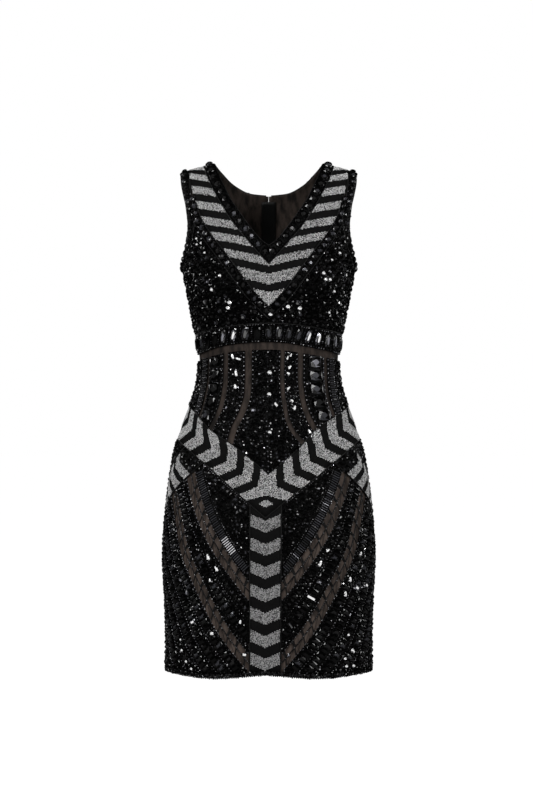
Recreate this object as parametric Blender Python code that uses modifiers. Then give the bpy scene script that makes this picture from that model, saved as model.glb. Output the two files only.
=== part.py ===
"""A sleeveless, V-necked, beaded sheath dress in the hollow shape it has when worn, zipped at the centre back.

Metres, +Z up. The front faces -Y. The origin lies midway between the two shoulder seams, at their neck ends.
Every piece is laid out on one fitted block: a point of the block has a turn (0 at the centre front, 90 degrees
at the side seam, 180 at the centre back) and a level (its height, which above the bust runs on over the shoulder).
"""

import math

import bmesh
import bpy
import numpy as np
from mathutils import Matrix

# Cloth and beadwork, measured outwards from the inner face of the cloth.
CLOTH = 0.0012
PLY_GAP = 0.0011
BEADWORK = 0.0014
STACK = CLOTH + PLY_GAP + BEADWORK
LIFT = CLOTH + PLY_GAP
SEAM = 0.0003
BUTT = 0.0010
BACK_OPENING = 0.0006
PLACKET = 0.0084

# The fitted block from the hem up: height, half the width, depth in front of the side seam, depth behind it.
BLOCK = (
    # level, half_width, front, back
    (-0.838, 0.1715, 0.098, 0.104),
    (-0.800, 0.1705, 0.100, 0.107),
    (-0.740, 0.1715, 0.103, 0.112),
    (-0.690, 0.1740, 0.106, 0.116),
    (-0.650, 0.1755, 0.108, 0.118),
    (-0.600, 0.1730, 0.110, 0.117),
    (-0.560, 0.1690, 0.109, 0.113),
    (-0.520, 0.1640, 0.107, 0.108),
    (-0.480, 0.1570, 0.104, 0.102),
    (-0.440, 0.1450, 0.100, 0.095),
    (-0.400, 0.1305, 0.095, 0.089),
    (-0.365, 0.1200, 0.091, 0.085),
    (-0.335, 0.1170, 0.089, 0.083),
    (-0.300, 0.1195, 0.091, 0.085),
    (-0.270, 0.1240, 0.096, 0.090),
    (-0.235, 0.1305, 0.103, 0.097),
    (-0.205, 0.1365, 0.106, 0.101),
    (-0.168, 0.1440, 0.105, 0.103),
    (-0.100, 0.1510, 0.104, 0.104),
    (0.000, 0.1580, 0.104, 0.104),
    (0.120, 0.1620, 0.104, 0.104),
)
HEM = BLOCK[0][0]
HEM_DIP, DIP_WIDTH, DIP_START = 0.007, 0.070, -0.68
BUST = -0.205
WAIST, WAIST_HOLLOW = -0.325, 0.090
SQUARENESS = 2.25
NECK_END, ARM_END = 0.090, 0.150
SHOULDER_SLOPE, CREST_ROUND = 0.31, 0.050
CHEST_FLATNESS = 0.12
ABOVE_BUST = 0.205 * math.pi / 2
TOP = BUST + ABOVE_BUST

# Fullness of the cut over the figure: sideways, height, reach sideways, reach up, reach down, fullness.
FRONT_EASE = (
    # x, z, wide, up, down, full
    (0.070, -0.205, 0.042, 0.070, 0.045, 0.017),
    (0.088, -0.838, 0.050, 0.240, 0.100, 0.009),
)
BACK_EASE = (
    (0.074, -0.605, 0.060, 0.085, 0.075, 0.018),
    (0.070, -0.130, 0.050, 0.080, 0.080, 0.005),
)

# Edges as seen from the front or back: sideways, height. ON_SHOULDER is any height past the shoulder seam.
ON_SHOULDER = 0.1
NECK_FRONT = (
    (0.0000, -0.1433), (0.0114, -0.1353), (0.0285, -0.1153), (0.0497, -0.0852),
    (0.0629, -0.0648), (0.0730, -0.0440), (0.0832, -0.0226), (NECK_END, ON_SHOULDER),
)
NECK_BACK = (
    (0.0000, -0.0500), (0.0300, -0.0470), (0.0580, -0.0340), (0.0780, -0.0160), (NECK_END, ON_SHOULDER),
)
ARM_FRONT = (
    (0.1440, -0.1680), (0.1400, -0.1507), (0.1346, -0.1310), (0.1313, -0.1010), (0.1350, -0.0805),
    (0.1400, -0.0610), (0.1450, -0.0400), (0.1485, -0.0190), (ARM_END, ON_SHOULDER),
)
ARM_BACK = (
    (0.1440, -0.1680), (0.1405, -0.1530), (0.1385, -0.1300), (0.1360, -0.1000), (0.1385, -0.0750),
    (0.1425, -0.0500), (0.1475, -0.0220), (ARM_END, ON_SHOULDER),
)
BIB_INNER = (
    (0.0000, -0.1727), (0.0101, -0.1618), (0.0362, -0.1319), (0.0590, -0.1025),
    (0.0767, -0.0736), (0.0903, -0.0480), (0.1023, -0.0225), (0.1070, ON_SHOULDER),
)
BIB_OUTER = (
    (0.0000, -0.2400), (0.0267, -0.2133), (0.0530, -0.1778), (0.0730, -0.1494), (0.0928, -0.1225),
    (0.1090, -0.0957), (0.1190, -0.0685), (0.1275, -0.0430), (0.1335, -0.0196), (0.1370, ON_SHOULDER),
)
SHEER_INNER = (
    (0.0277, -0.3000), (0.0270, -0.3530), (0.0280, -0.3790), (0.0345, -0.4112), (0.0462, -0.4404), (0.0680, -0.4790),
)
SHEER_OUTER = (
    (0.0600, -0.3000), (0.0600, -0.3530), (0.0620, -0.3790), (0.0680, -0.4064), (0.0780, -0.4290), (0.1010, -0.4700),
)
SHEER_SIDE = (
    (0.0945, -0.3000), (0.0960, -0.3605), (0.1000, -0.3885), (0.1075, -0.4146), (0.1220, -0.4500),
)
LADDER_SHEER = (
    (0.1350, -0.4800), (0.1275, -0.5100), (0.1200, -0.5390), (0.1010, -0.5910),
    (0.0780, -0.6330), (0.0530, -0.6690), (0.0280, -0.7010), (0.0030, -0.7300),
)
SKIRT_SHEER = (
    (0.1570, -0.5400), (0.1450, -0.5940), (0.1366, -0.6330), (0.1237, -0.6640), (0.0980, -0.7140),
    (0.0705, -0.7610), (0.0430, -0.7970), (0.0268, -0.8165), (0.0040, -0.8400),
)

# Bands, as heights where they cross the centre line and how they run from there.
EMPIRE_TOP, EMPIRE_TOP_DROP = -0.2680, 0.017
EMPIRE_FOOT, EMPIRE_FOOT_DROP = -0.2980, 0.022
WAIST_SHEER, WAIST_SHEER_DROP = -0.3104, 0.020
EMPIRE_SIDE = 0.120
HIP_TOP, HIP_FOOT, HIP_RISE = -0.5137, -0.5840, 0.85
SIDE_BAND_TOP = ((68.0, -0.4680), (90.0, -0.5230))
SIDE_BAND_FOOT = ((49.5, -0.4890), (90.0, -0.5795))
COLUMN = 0.0249
BINDING = 0.006
NECK_TRIM, ARM_TRIM, BIB_BORDER = 0.017, 0.013, 0.0145
SHEER_HALF, SIDE_SHEER_HALF, SKIRT_SHEER_HALF = 0.0045, 0.0030, 0.0070
LADDER = 0.013
YOKE = 0.070

# The full middle of a beaded trim, and large stones raised in the outer face of a band.
TRIM_DOME = 0.0016
EMPIRE_STONES, EMPIRE_STONE_RISE = 38, 0.0030
CUT_STONE_RISE = 0.0026

# Centre-back zip.
ZIP_TOP, ZIP_FOOT = -0.058, -0.560
ZIP_TAPE_HALF, ZIP_TAPE = 0.012, 0.0010
SLIDER_HEIGHT, SLIDER_WIDTH, SLIDER_THICK = 0.010, 0.0056, 0.0020
SLIDER_LEVEL = -0.082
PIN_RADIUS, EYE_CLEARANCE, EYE_WALL = 0.0007, 0.0003, 0.0009
EAR_THICK, EAR_GAP, EAR_WALL = 0.0008, 0.0026, 0.0008
TAB_LENGTH, TAB_WIDTH, TAB_THICK, TAB_NECK = 0.017, 0.0054, 0.0010, 0.0045
TAPE_GAP, SLIDER_GAP = 0.0012, 0.0004
SIDES = 16

MATERIALS = {
    # name: colour, roughness, metallic
    "base_mesh": ((0.045, 0.034, 0.030), 0.75, 0.0),
    "black_beadwork": ((0.012, 0.012, 0.013), 0.30, 0.1),
    "silver_beadwork": ((0.42, 0.42, 0.42), 0.40, 0.6),
    "black_binding": ((0.010, 0.010, 0.010), 0.55, 0.0),
    "zip_metal": ((0.030, 0.030, 0.032), 0.35, 0.8),
}


def smooth_through(knots, values, at):
    """A smooth curve through the knots, with no overshoot between level neighbours."""
    knots, values = np.asarray(knots, float), np.asarray(values, float)
    step = np.diff(knots)
    slope = np.diff(values) / step
    tangent = np.concatenate([slope[:1], np.zeros(len(slope) - 1), slope[-1:]])
    same = slope[:-1] * slope[1:] > 0
    mean = 2 * slope[:-1] * slope[1:] / np.where(same, slope[:-1] + slope[1:], 1)
    tangent[1:-1] = np.where(same, mean, 0)
    i = np.clip(np.searchsorted(knots, at) - 1, 0, len(step) - 1)
    t = np.clip((at - knots[i]) / step[i], 0, 1)
    rise = values[i + 1] - values[i]
    start, end = tangent[i] * step[i], tangent[i + 1] * step[i]
    return values[i] + t * start + t**2 * (3 * rise - 2 * start - end) + t**3 * (start + end - 2 * rise)


def block(level):
    """Half the width and the depths in front and behind, at the cloth's inner face."""
    rows = np.array(BLOCK)
    return [smooth_through(rows[:, 0], rows[:, k], level) - STACK for k in (1, 2, 3)]


def crest(x):
    """The height of the shoulder seam at a distance from the centre."""
    return SHOULDER_SLOPE * (math.hypot(NECK_END, CREST_ROUND) - np.hypot(x, CREST_ROUND)) - STACK


def fullness(x, z, ease):
    """How far the cut stands out from the plain block."""
    out = np.zeros_like(x)
    for x0, z0, wide, up, down, full in ease:
        reach = np.where(z > z0, up, down)
        out += full * np.exp(-(((np.abs(x) - x0) / wide) ** 2) - ((z - z0) / reach) ** 2)
    return out


def on_block(points, lift=0.0):
    """Places (turn, level) points in space, moved out from the cloth's inner face by lift."""
    points = np.asarray(points, float)
    place = surface(points)
    if not np.any(lift):
        return place
    return place + facing(points) * np.reshape(lift, (-1, 1) if np.ndim(lift) else (1,))


def surface(points):
    turn, level = points[..., 0], points[..., 1]
    over = level > TOP
    turn = np.where(over, np.sign(turn) * (math.pi - np.abs(turn)), turn)
    level = np.where(over, 2 * TOP - level, level)
    half, front, back = block(level)
    depth = np.where(np.cos(turn) >= 0, front, back)
    radius = (np.abs(np.sin(turn) / half) ** SQUARENESS + np.abs(np.cos(turn) / depth) ** SQUARENESS) ** (
        -1 / SQUARENESS
    )
    x, y = radius * np.sin(turn), -radius * np.cos(turn)
    climb = np.clip((level - BUST) / ABOVE_BUST, 0, 1) * math.pi / 2
    z = np.where(level > BUST, BUST + (crest(x) - BUST) * np.sin(climb), level)
    dip = HEM_DIP * np.exp(-(((np.abs(x) - FRONT_EASE[1][0]) / DIP_WIDTH) ** 2))
    z = z - dip * np.clip((DIP_START - level) / (DIP_START - HEM), 0, 1) ** 1.5
    away = np.clip(np.abs(np.cos(turn)) * 2, 0, 1)
    y = y - np.where(np.cos(turn) >= 0, fullness(x, z, FRONT_EASE), -fullness(x, z, BACK_EASE)) * away
    return np.stack([x, y * np.cos(climb) * (1 - CHEST_FLATNESS * np.sin(climb) ** 2), z], axis=-1)


def slopes(points):
    """How a place moves with its turn and with its level."""
    turned, raised = np.array([1e-4, 0]), np.array([0, 1e-5])
    by_turn = (surface(points + turned) - surface(points - turned)) / 2e-4
    by_level = (surface(points + raised) - surface(points - raised)) / 2e-5
    return by_turn, by_level


def facing(points):
    """Unit vectors out of the cloth."""
    by_turn, by_level = slopes(points)
    out = np.cross(by_turn, by_level)
    return out / np.linalg.norm(out, axis=-1, keepdims=True)


def seen(x, z, behind=False):
    """The (turn, level) of a point seen from the front, or from behind."""
    climb = np.arcsin(np.clip((z - BUST) / (crest(x) - BUST), 0, 1))
    level = np.where(z > BUST, BUST + ABOVE_BUST * climb * 2 / math.pi, z)
    half, front, back = block(level)
    depth = back if behind else front
    inner = np.abs(x) - STACK * (np.abs(x) / (half + STACK)) ** 4
    share = np.clip(inner / half, 0, 1)
    turn = np.arctan2(share * half, depth * (1 - share**SQUARENESS) ** (1 / SQUARENESS))
    turn = math.pi - turn if behind else turn
    return np.stack([np.where(x < 0, -turn, turn), level], axis=-1)


def drawn(table, behind=False, steps=12):
    """A smooth edge through a table of (sideways, height)."""
    table = np.array(table)
    table[:, 1] = np.minimum(table[:, 1], crest(table[:, 0]))
    along = np.concatenate([[0], np.cumsum(np.linalg.norm(np.diff(table, axis=0), axis=1))])
    at = np.linspace(0, along[-1], steps * len(table))
    x, z = (smooth_through(along, table[:, k], at) for k in (0, 1))
    return seen(x, z, behind)


def girdle(height, start, end, steps=96):
    """An edge round the body whose height depends on the distance from the centre line. start and end are turns."""
    turn = np.linspace(start, end, steps)
    level = np.full(steps, float(height(0.1)))
    for _ in range(30):
        x = surface(np.stack([turn, level], axis=-1))[:, 0]
        level = (level + height(np.abs(x))) / 2
    return np.stack([turn, level], axis=-1)


def slant(ends, steps=48):
    """A straight run between two (degrees of turn, level) ends."""
    (turn_0, level_0), (turn_1, level_1) = ends
    t = np.linspace(0, 1, steps)
    return np.stack([np.radians(turn_0 + (turn_1 - turn_0) * t), level_0 + (level_1 - level_0) * t], axis=-1)


def side_seam(top, foot, behind=False, steps=40):
    """The edge of a front or back piece at the side seam, from one level down to another."""
    level = np.linspace(top, foot, steps)
    turn = math.pi / 2 - SEAM / 2 / block(level)[1]
    return np.stack([math.pi - turn if behind else turn, level], axis=-1)


def upright(x, top, foot, behind=False, steps=40):
    """An upright edge at a distance from the centre line."""
    return seen(np.full(steps, x), np.linspace(top, foot, steps), behind)


def resampled(edge, pieces, closer=0.0):
    """The edge again, in pieces of equal length, or of shorter ones round the hollow of the waist."""
    places = surface(edge)
    steps = np.linalg.norm(np.diff(places, axis=0), axis=1)
    middle = (edge[1:, 1] + edge[:-1, 1]) / 2
    steps = steps * (1 + closer * np.exp(-(((middle - WAIST) / WAIST_HOLLOW) ** 2)))
    along = np.concatenate([[0], np.cumsum(steps)])
    at = np.linspace(0, along[-1], pieces + 1)
    return np.stack([np.interp(at, along, edge[:, k]) for k in (0, 1)], axis=-1)


def moved(edge, distance):
    """The edge moved sideways over the cloth, to the left of its run as seen from outside."""
    places = surface(edge)
    run = np.gradient(places, axis=0)
    side = np.cross(facing(edge), run)
    side *= distance / np.linalg.norm(side, axis=1, keepdims=True)
    by_turn, by_level = slopes(edge)
    tt, tl, ll = ((p * q).sum(1) for p, q in ((by_turn, by_turn), (by_turn, by_level), (by_level, by_level)))
    st, sl = (side * by_turn).sum(1), (side * by_level).sum(1)
    spread = tt * ll - tl * tl
    step = np.stack([(st * ll - sl * tl) / spread, (sl * tt - st * tl) / spread], axis=-1)
    return edge + step


def kept(edge, inside):
    """The stretch of an edge where inside(edge) is positive, cut exactly where it becomes so."""
    depth = inside(edge)
    index = np.nonzero(depth > 0)[0]
    first, last = index[0], index[-1]
    stretch = list(edge[first : last + 1])
    if first > 0:
        share = depth[first] / (depth[first] - depth[first - 1])
        stretch.insert(0, edge[first] + (edge[first - 1] - edge[first]) * share)
    if last < len(edge) - 1:
        share = depth[last] / (depth[last] - depth[last + 1])
        stretch.append(edge[last] + (edge[last + 1] - edge[last]) * share)
    return np.array(stretch)


def below(line, gap=BUTT / 2):
    """Tells how far under an edge the points lie. The edge runs with its turn."""
    order = np.argsort(line[:, 0])
    return lambda edge: np.interp(edge[:, 0], line[order, 0], line[order, 1]) - gap - edge[:, 1]


def above(line, gap=BUTT / 2):
    under = below(line, -gap)
    return lambda edge: -under(edge)


def clear_of(x):
    """Tells how far outside a distance from the centre line the points lie."""
    return lambda edge: surface(edge)[:, 0] - x


def to_centre(edge):
    """The edge cut or run on so that it starts on the centre line."""
    after = int(np.nonzero(edge[:, 0] > 0)[0][0])
    first, second = edge[max(after - 1, 0)], edge[max(after, 1)]
    start = first - (second - first) * first[0] / (second[0] - first[0])
    return np.concatenate([[start], edge[after:]])


def to_side(edge):
    """An armhole edge cut or run on so that both its ends lie at the side seam."""
    side = math.pi / 2 - SEAM / 2 / 0.14
    inner = edge[edge[:, 0] < side]
    ends = []
    for last, near in ((inner[0], inner[3]), (inner[-1], inner[-4])):
        ends.append(last + (last - near) * (side - last[0]) / (last[0] - near[0]))
    return np.concatenate([[ends[0]], inner, [ends[1]]])


def over_shoulder(front, back):
    """One edge that climbs the front, crosses the shoulder and comes down the back."""
    rise = kept(front, lambda e: TOP - e[:, 1])
    fall = kept(back, lambda e: TOP - e[:, 1])[::-1]
    fall = np.stack([math.pi - fall[:, 0], 2 * TOP - fall[:, 1]], axis=-1)
    return np.concatenate([rise, fall[1:]])


def behind_shoulder(edge):
    """The back stretch of such an edge, as plain (turn, level) points running up to the shoulder."""
    fall = kept(edge, lambda e: e[:, 1] - TOP)[::-1]
    return np.stack([math.pi - fall[:, 0], 2 * TOP - fall[:, 1]], axis=-1)


def joined(*edges):
    return np.concatenate([edges[0]] + [edge[1:] for edge in edges[1:]])


def between(line, first, last, pieces, crowd=1.0):
    """The stretch of a line from one corner to another, keeping the corners' distances from it."""
    order = np.argsort(line[:, 0])
    t = np.linspace(0, 1, pieces + 1) ** crowd
    turn = first[0] + (last[0] - first[0]) * t
    at = lambda where: np.interp(where, line[order, 0], line[order, 1])
    level = at(turn) + (first[1] - at(first[0])) * (1 - t) + (last[1] - at(last[0])) * t
    return np.stack([turn, level], axis=-1)


def patch(edge_a, edge_b, across, start=None, end=None, crowd=1.0):
    """A grid of (turn, level) points between two edges, with its ends on the start and end edges if given.

    crowd above 1 brings its lines closer together towards edge a.
    """
    t = np.linspace(0, 1, len(edge_a))[:, None, None]
    s = np.linspace(0, 1, across + 1)[None, :, None] ** crowd
    grid = (1 - s) * edge_a[:, None] + s * edge_b[:, None]
    for edge, row, weight in ((start, 0, 1 - t), (end, -1, t)):
        if edge is not None:
            grid = grid + weight * (edge[None] - grid[row][None])
    return grid


def material(name):
    found = bpy.data.materials.get(name)
    if found:
        return found
    colour, roughness, metallic = MATERIALS[name]
    made = bpy.data.materials.new(name)
    made.use_nodes = True
    shader = made.node_tree.nodes["Principled BSDF"]
    shader.inputs["Base Color"].default_value = (*colour, 1)
    shader.inputs["Roughness"].default_value = roughness
    shader.inputs["Metallic"].default_value = metallic
    return made


def finish(name, mesh, finish_name):
    made = bpy.data.objects.new(name, mesh)
    made.data.materials.append(material(finish_name))
    made.data.shade_smooth()
    bpy.data.collections["dress"].objects.link(made)
    return made


def cloth(name, grid, finish_name, lift=LIFT, thick=BEADWORK, side=1, mirrored=False, relief=None):
    """A wall of cloth or beadwork over a grid of (turn, level) points. relief gives each point's extra height."""
    rows, columns = grid.shape[:2]
    places = on_block(grid.reshape(-1, 2), lift)
    places[:, 0] *= side
    shape = bmesh.new()
    bmesh.ops.create_grid(shape, x_segments=columns - 1, y_segments=rows - 1, size=1)
    shape.verts.ensure_lookup_table()
    for vertex, place in zip(shape.verts, places):
        vertex.co = place
    shape.normal_update()
    outwards = sum(f.normal.dot((f.calc_center_median().x, f.calc_center_median().y, 0)) for f in shape.faces)
    if outwards < 0:
        bmesh.ops.reverse_faces(shape, faces=shape.faces)
    mesh = bpy.data.meshes.new(name)
    shape.to_mesh(mesh)
    shape.free()
    made = finish(name, mesh, finish_name)
    if mirrored:
        mirror = made.modifiers.new("Mirror", "MIRROR")
        mirror.merge_threshold = 0.00005
    wall = made.modifiers.new("Wall", "SOLIDIFY")
    wall.offset = 1
    wall.thickness = thick
    if relief is not None:
        heights = np.array([thick + relief(i, j) for i in range(rows) for j in range(columns)])
        wall.thickness = heights.max()
        group = made.vertex_groups.new(name="relief")
        for index, height in enumerate(heights / heights.max()):
            group.add([index], float(height), "REPLACE")
        wall.vertex_group = group.name
    return made


def studs(rise, columns):
    """Relief for a row of large beads: every second row of points stands up, except at the two long edges."""
    return lambda i, j: rise if i % 2 and 0 < j < columns else 0.0


def empire(height, drop):
    return lambda x: height - drop * (x / EMPIRE_SIDE) ** 2


def hip(height):
    return lambda x: height + HIP_RISE * x


def length(edge):
    return float(np.linalg.norm(np.diff(surface(edge), axis=0), axis=1).sum())


def panel(name, line_a, line_b, top, foot, rows, across, finish_name="black_beadwork", crowd=1.0, **more):
    """A four-sided piece between two side lines, cut off by a line above and a line below."""
    a, b = (kept(kept(line, below(top)), above(foot)) for line in (line_a, line_b))
    a, b = resampled(a, rows), resampled(b, rows)
    start, end = (between(line, a[k], b[k], across, crowd) for line, k in ((top, 0), (foot, -1)))
    both_sides(name, patch(a, b, across, start, end, crowd), finish_name, **more)


def both_sides(name, grid, finish_name="black_beadwork", mirrored=False, **more):
    """One piece across the centre line, or a left and a right one."""
    if mirrored:
        cloth(name, grid, finish_name, mirrored=True, **more)
        return
    cloth(name + "_left", grid, finish_name, side=1, **more)
    cloth(name + "_right", grid, finish_name, side=-1, **more)


def neck_line():
    back = kept(drawn(NECK_BACK, True), clear_of(PLACKET / 2))
    return over_shoulder(drawn(NECK_FRONT), back)


def trim_line(neck):
    """The outer edge of the neck trim, up the front and down the back."""
    front = kept(drawn(BIB_INNER), lambda e: TOP - e[:, 1])
    back = kept(moved(neck, -NECK_TRIM), lambda e: e[:, 1] - TOP)
    return np.concatenate([front, back[1:]])


def arm_line():
    """The armhole from the underarm up the front and down the back."""
    ends = math.pi / 2 - SEAM / 2 / 0.14
    front, back = drawn(ARM_FRONT), drawn(ARM_BACK, True)
    front[:, 0] = np.minimum(front[:, 0], ends)
    back[:, 0] = np.maximum(back[:, 0], math.pi - ends)
    return over_shoulder(front, back)


def base_walls():
    """The mesh that everything is sewn to: one front and two backs."""
    armpit = arm_line()[0, 1]
    for behind in (False, True):
        neck_edge = drawn(NECK_BACK if behind else NECK_FRONT, behind)
        if behind:
            neck_edge = kept(neck_edge, clear_of(BACK_OPENING / 2))
            arm_edge = behind_shoulder(arm_line())
        else:
            arm_edge = kept(arm_line(), lambda e: TOP - e[:, 1])
        neck_edge = kept(neck_edge, lambda e: TOP - SEAM / 2 - e[:, 1])
        arm_edge = kept(arm_edge, lambda e: TOP - SEAM / 2 - e[:, 1])
        centre_x = BACK_OPENING / 2 if behind else 0.0
        foot_z = surface(neck_edge[:1])[0, 2]
        low = upright(centre_x, HEM, armpit, behind)
        high = upright(centre_x, armpit, foot_z, behind)
        split = 6 if behind else 3
        inner = joined(resampled(low, 22, 1.6), resampled(high, split), resampled(neck_edge, 11 - split))
        side_line = side_seam(armpit, HEM, behind)[::-1]
        outer = joined(resampled(side_line, 22, 1.6), resampled(arm_edge, 11))
        grid = patch(outer, inner, 7, crowd=1.2)
        if behind:
            both_sides("back", grid, "base_mesh", lift=0.0, thick=CLOTH)
        else:
            both_sides("front", grid, "base_mesh", mirrored=True, lift=0.0, thick=CLOTH)


def neckline_and_armholes():
    """Beaded trims round the neck and the armholes, and the striped bib with its border."""
    neck, arm = neck_line(), arm_line()
    domed = lambda i, j: TRIM_DOME if j == 1 else 0.0
    trim_edge = trim_line(neck)
    grid = patch(resampled(neck, 28), resampled(trim_edge, 28), 2)
    both_sides("neck_trim", grid, mirrored=True, relief=domed)

    arm_edge = to_side(moved(arm, ARM_TRIM))
    grid = patch(resampled(arm, 34), resampled(arm_edge, 34), 2)
    both_sides("armhole_trim", grid, relief=domed)

    yoke = lambda e: TOP + YOKE - e[:, 1]
    bib_inner = kept(to_centre(moved(trim_line(neck), -BUTT)), yoke)
    arm_clear = to_side(moved(arm, ARM_TRIM + BUTT))
    bib_front = kept(drawn(BIB_OUTER), lambda e: TOP - e[:, 1])
    arm_x = np.interp(bib_front[:, 1], *arm_clear[arm_clear[:, 1] < TOP + 0.01].T[::-1])
    bib_front[:, 0] = np.minimum(bib_front[:, 0], arm_x)
    bib_back = kept(kept(arm_clear, lambda e: e[:, 1] - TOP), yoke)
    bib_outer = np.concatenate([bib_front, bib_back[1:]])
    grid = patch(resampled(bib_inner, 25), resampled(bib_outer, 25), 3)
    both_sides("chevron_bib", grid, "silver_beadwork", mirrored=True, lift=LIFT + SEAM)

    front_arm = kept(arm_clear, lambda e: TOP - e[:, 1])
    reach = lambda e: np.interp(surface(e)[:, 2], surface(front_arm)[:, 2], surface(front_arm)[:, 0]) - surface(e)[:, 0]
    border_outer = kept(to_centre(moved(bib_front, -BIB_BORDER)), reach)
    meets = border_outer[-1, 1]
    border_inner = kept(to_centre(moved(bib_front, -BUTT)), lambda e: reach(e) - 0.003)
    top_level = border_inner[-1, 1]
    beside_arm = kept(kept(front_arm, lambda e: e[:, 1] - meets), lambda e: top_level - e[:, 1])
    border_outer = joined(border_outer, beside_arm[beside_arm[:, 1] > meets])
    grid = patch(resampled(border_inner, 20), resampled(border_outer, 20), 2)
    both_sides("bib_border", grid, mirrored=True)

    bust_inner = to_centre(moved(bib_front, -BIB_BORDER - BUTT))
    empire_top = girdle(empire(EMPIRE_TOP, EMPIRE_TOP_DROP), 0.0, math.pi / 2 - SEAM / 2 / 0.14)
    bust_inner = kept(kept(kept(bust_inner, reach), above(empire_top, 0.003)), clear_of(BUTT / 2))
    bust_foot = moved(empire_top, BUTT)
    bust_foot = bust_foot[bust_foot[:, 0] > bust_inner[0, 0]]
    bust_foot = np.concatenate([[[bust_inner[0, 0], bust_foot[0, 1]]], bust_foot])
    bust_foot[:, 0] = np.minimum(bust_foot[:, 0], arm[0, 0])
    beside_arm = kept(front_arm, lambda e: bust_inner[-1, 1] - e[:, 1])[::-1]
    beside_arm[:, 0] = np.minimum(beside_arm[:, 0], arm[0, 0])
    side = side_seam(beside_arm[-1, 1], bust_foot[-1, 1])
    end = joined(resampled(beside_arm, 6), resampled(side, 4))
    start = resampled(np.array([bust_inner[0], bust_foot[0]]), 10)
    grid = patch(resampled(bust_inner, 11), resampled(bust_foot, 11), 10, start, end)
    both_sides("bust_panel", grid)


def bands():
    """Bands that run round the body."""
    side, back = math.pi / 2 - SEAM / 2 / 0.12, math.pi - PLACKET / 2 / 0.085
    spans = (("front", -side, side), ("back", math.pi - side, back))
    for name, start, end in spans:
        top = girdle(empire(EMPIRE_TOP, EMPIRE_TOP_DROP), start, end)
        foot = girdle(empire(EMPIRE_FOOT, EMPIRE_FOOT_DROP), start, end)
        stones = EMPIRE_STONES if name == "front" else EMPIRE_STONES // 2
        grid = patch(resampled(top, stones), resampled(foot, stones), 3)
        put = cloth if name == "front" else both_sides
        put("empire_band_" + name, grid, "black_beadwork", relief=studs(EMPIRE_STONE_RISE, 3))
        hem_top = girdle(lambda x: HEM + BINDING, start, end)
        hem_foot = girdle(lambda x: HEM, start, end)
        pieces = 26 if name == "front" else 13
        grid = patch(resampled(hem_top, pieces), resampled(hem_foot, pieces), 1)
        put("hem_binding_" + name, grid, "black_binding")
    side = math.pi / 2 - SEAM / 2 / 0.14
    grid = patch(*(resampled(girdle(hip(z), 0.0, side), 15) for z in (HIP_TOP, HIP_FOOT)), 2)
    both_sides("hip_band_front", grid, "silver_beadwork", mirrored=True)
    grid = patch(*(resampled(girdle(hip(z), math.pi - side, back), 15) for z in (HIP_TOP, HIP_FOOT)), 2)
    both_sides("hip_band_back", grid, "silver_beadwork")


def midriff():
    """Panels under the empire band, with bare mesh between them."""
    side = math.pi / 2
    top = girdle(empire(WAIST_SHEER, WAIST_SHEER_DROP), 0.0, side)
    foot = girdle(hip(HIP_TOP), 0.0, side)
    centre = upright(0.0, -0.25, -0.55)
    seam = side_seam(-0.28, -0.47)
    inner, outer, flank = drawn(SHEER_INNER), drawn(SHEER_OUTER), drawn(SHEER_SIDE)
    panel("midriff_centre", centre, moved(inner, -SHEER_HALF), top, foot, 9, 2, mirrored=True)
    panel("midriff_inner", moved(inner, SHEER_HALF), moved(outer, -SHEER_HALF), top, foot, 8, 2)
    stones = lambda i, j: CUT_STONE_RISE if i % 2 and 0 < j < 3 else 0.0
    panel("midriff_outer", moved(outer, SHEER_HALF), moved(flank, -SIDE_SHEER_HALF), top, foot, 10, 3, relief=stones)
    panel("midriff_side", moved(flank, SIDE_SHEER_HALF), seam, top, foot, 7, 4)


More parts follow.
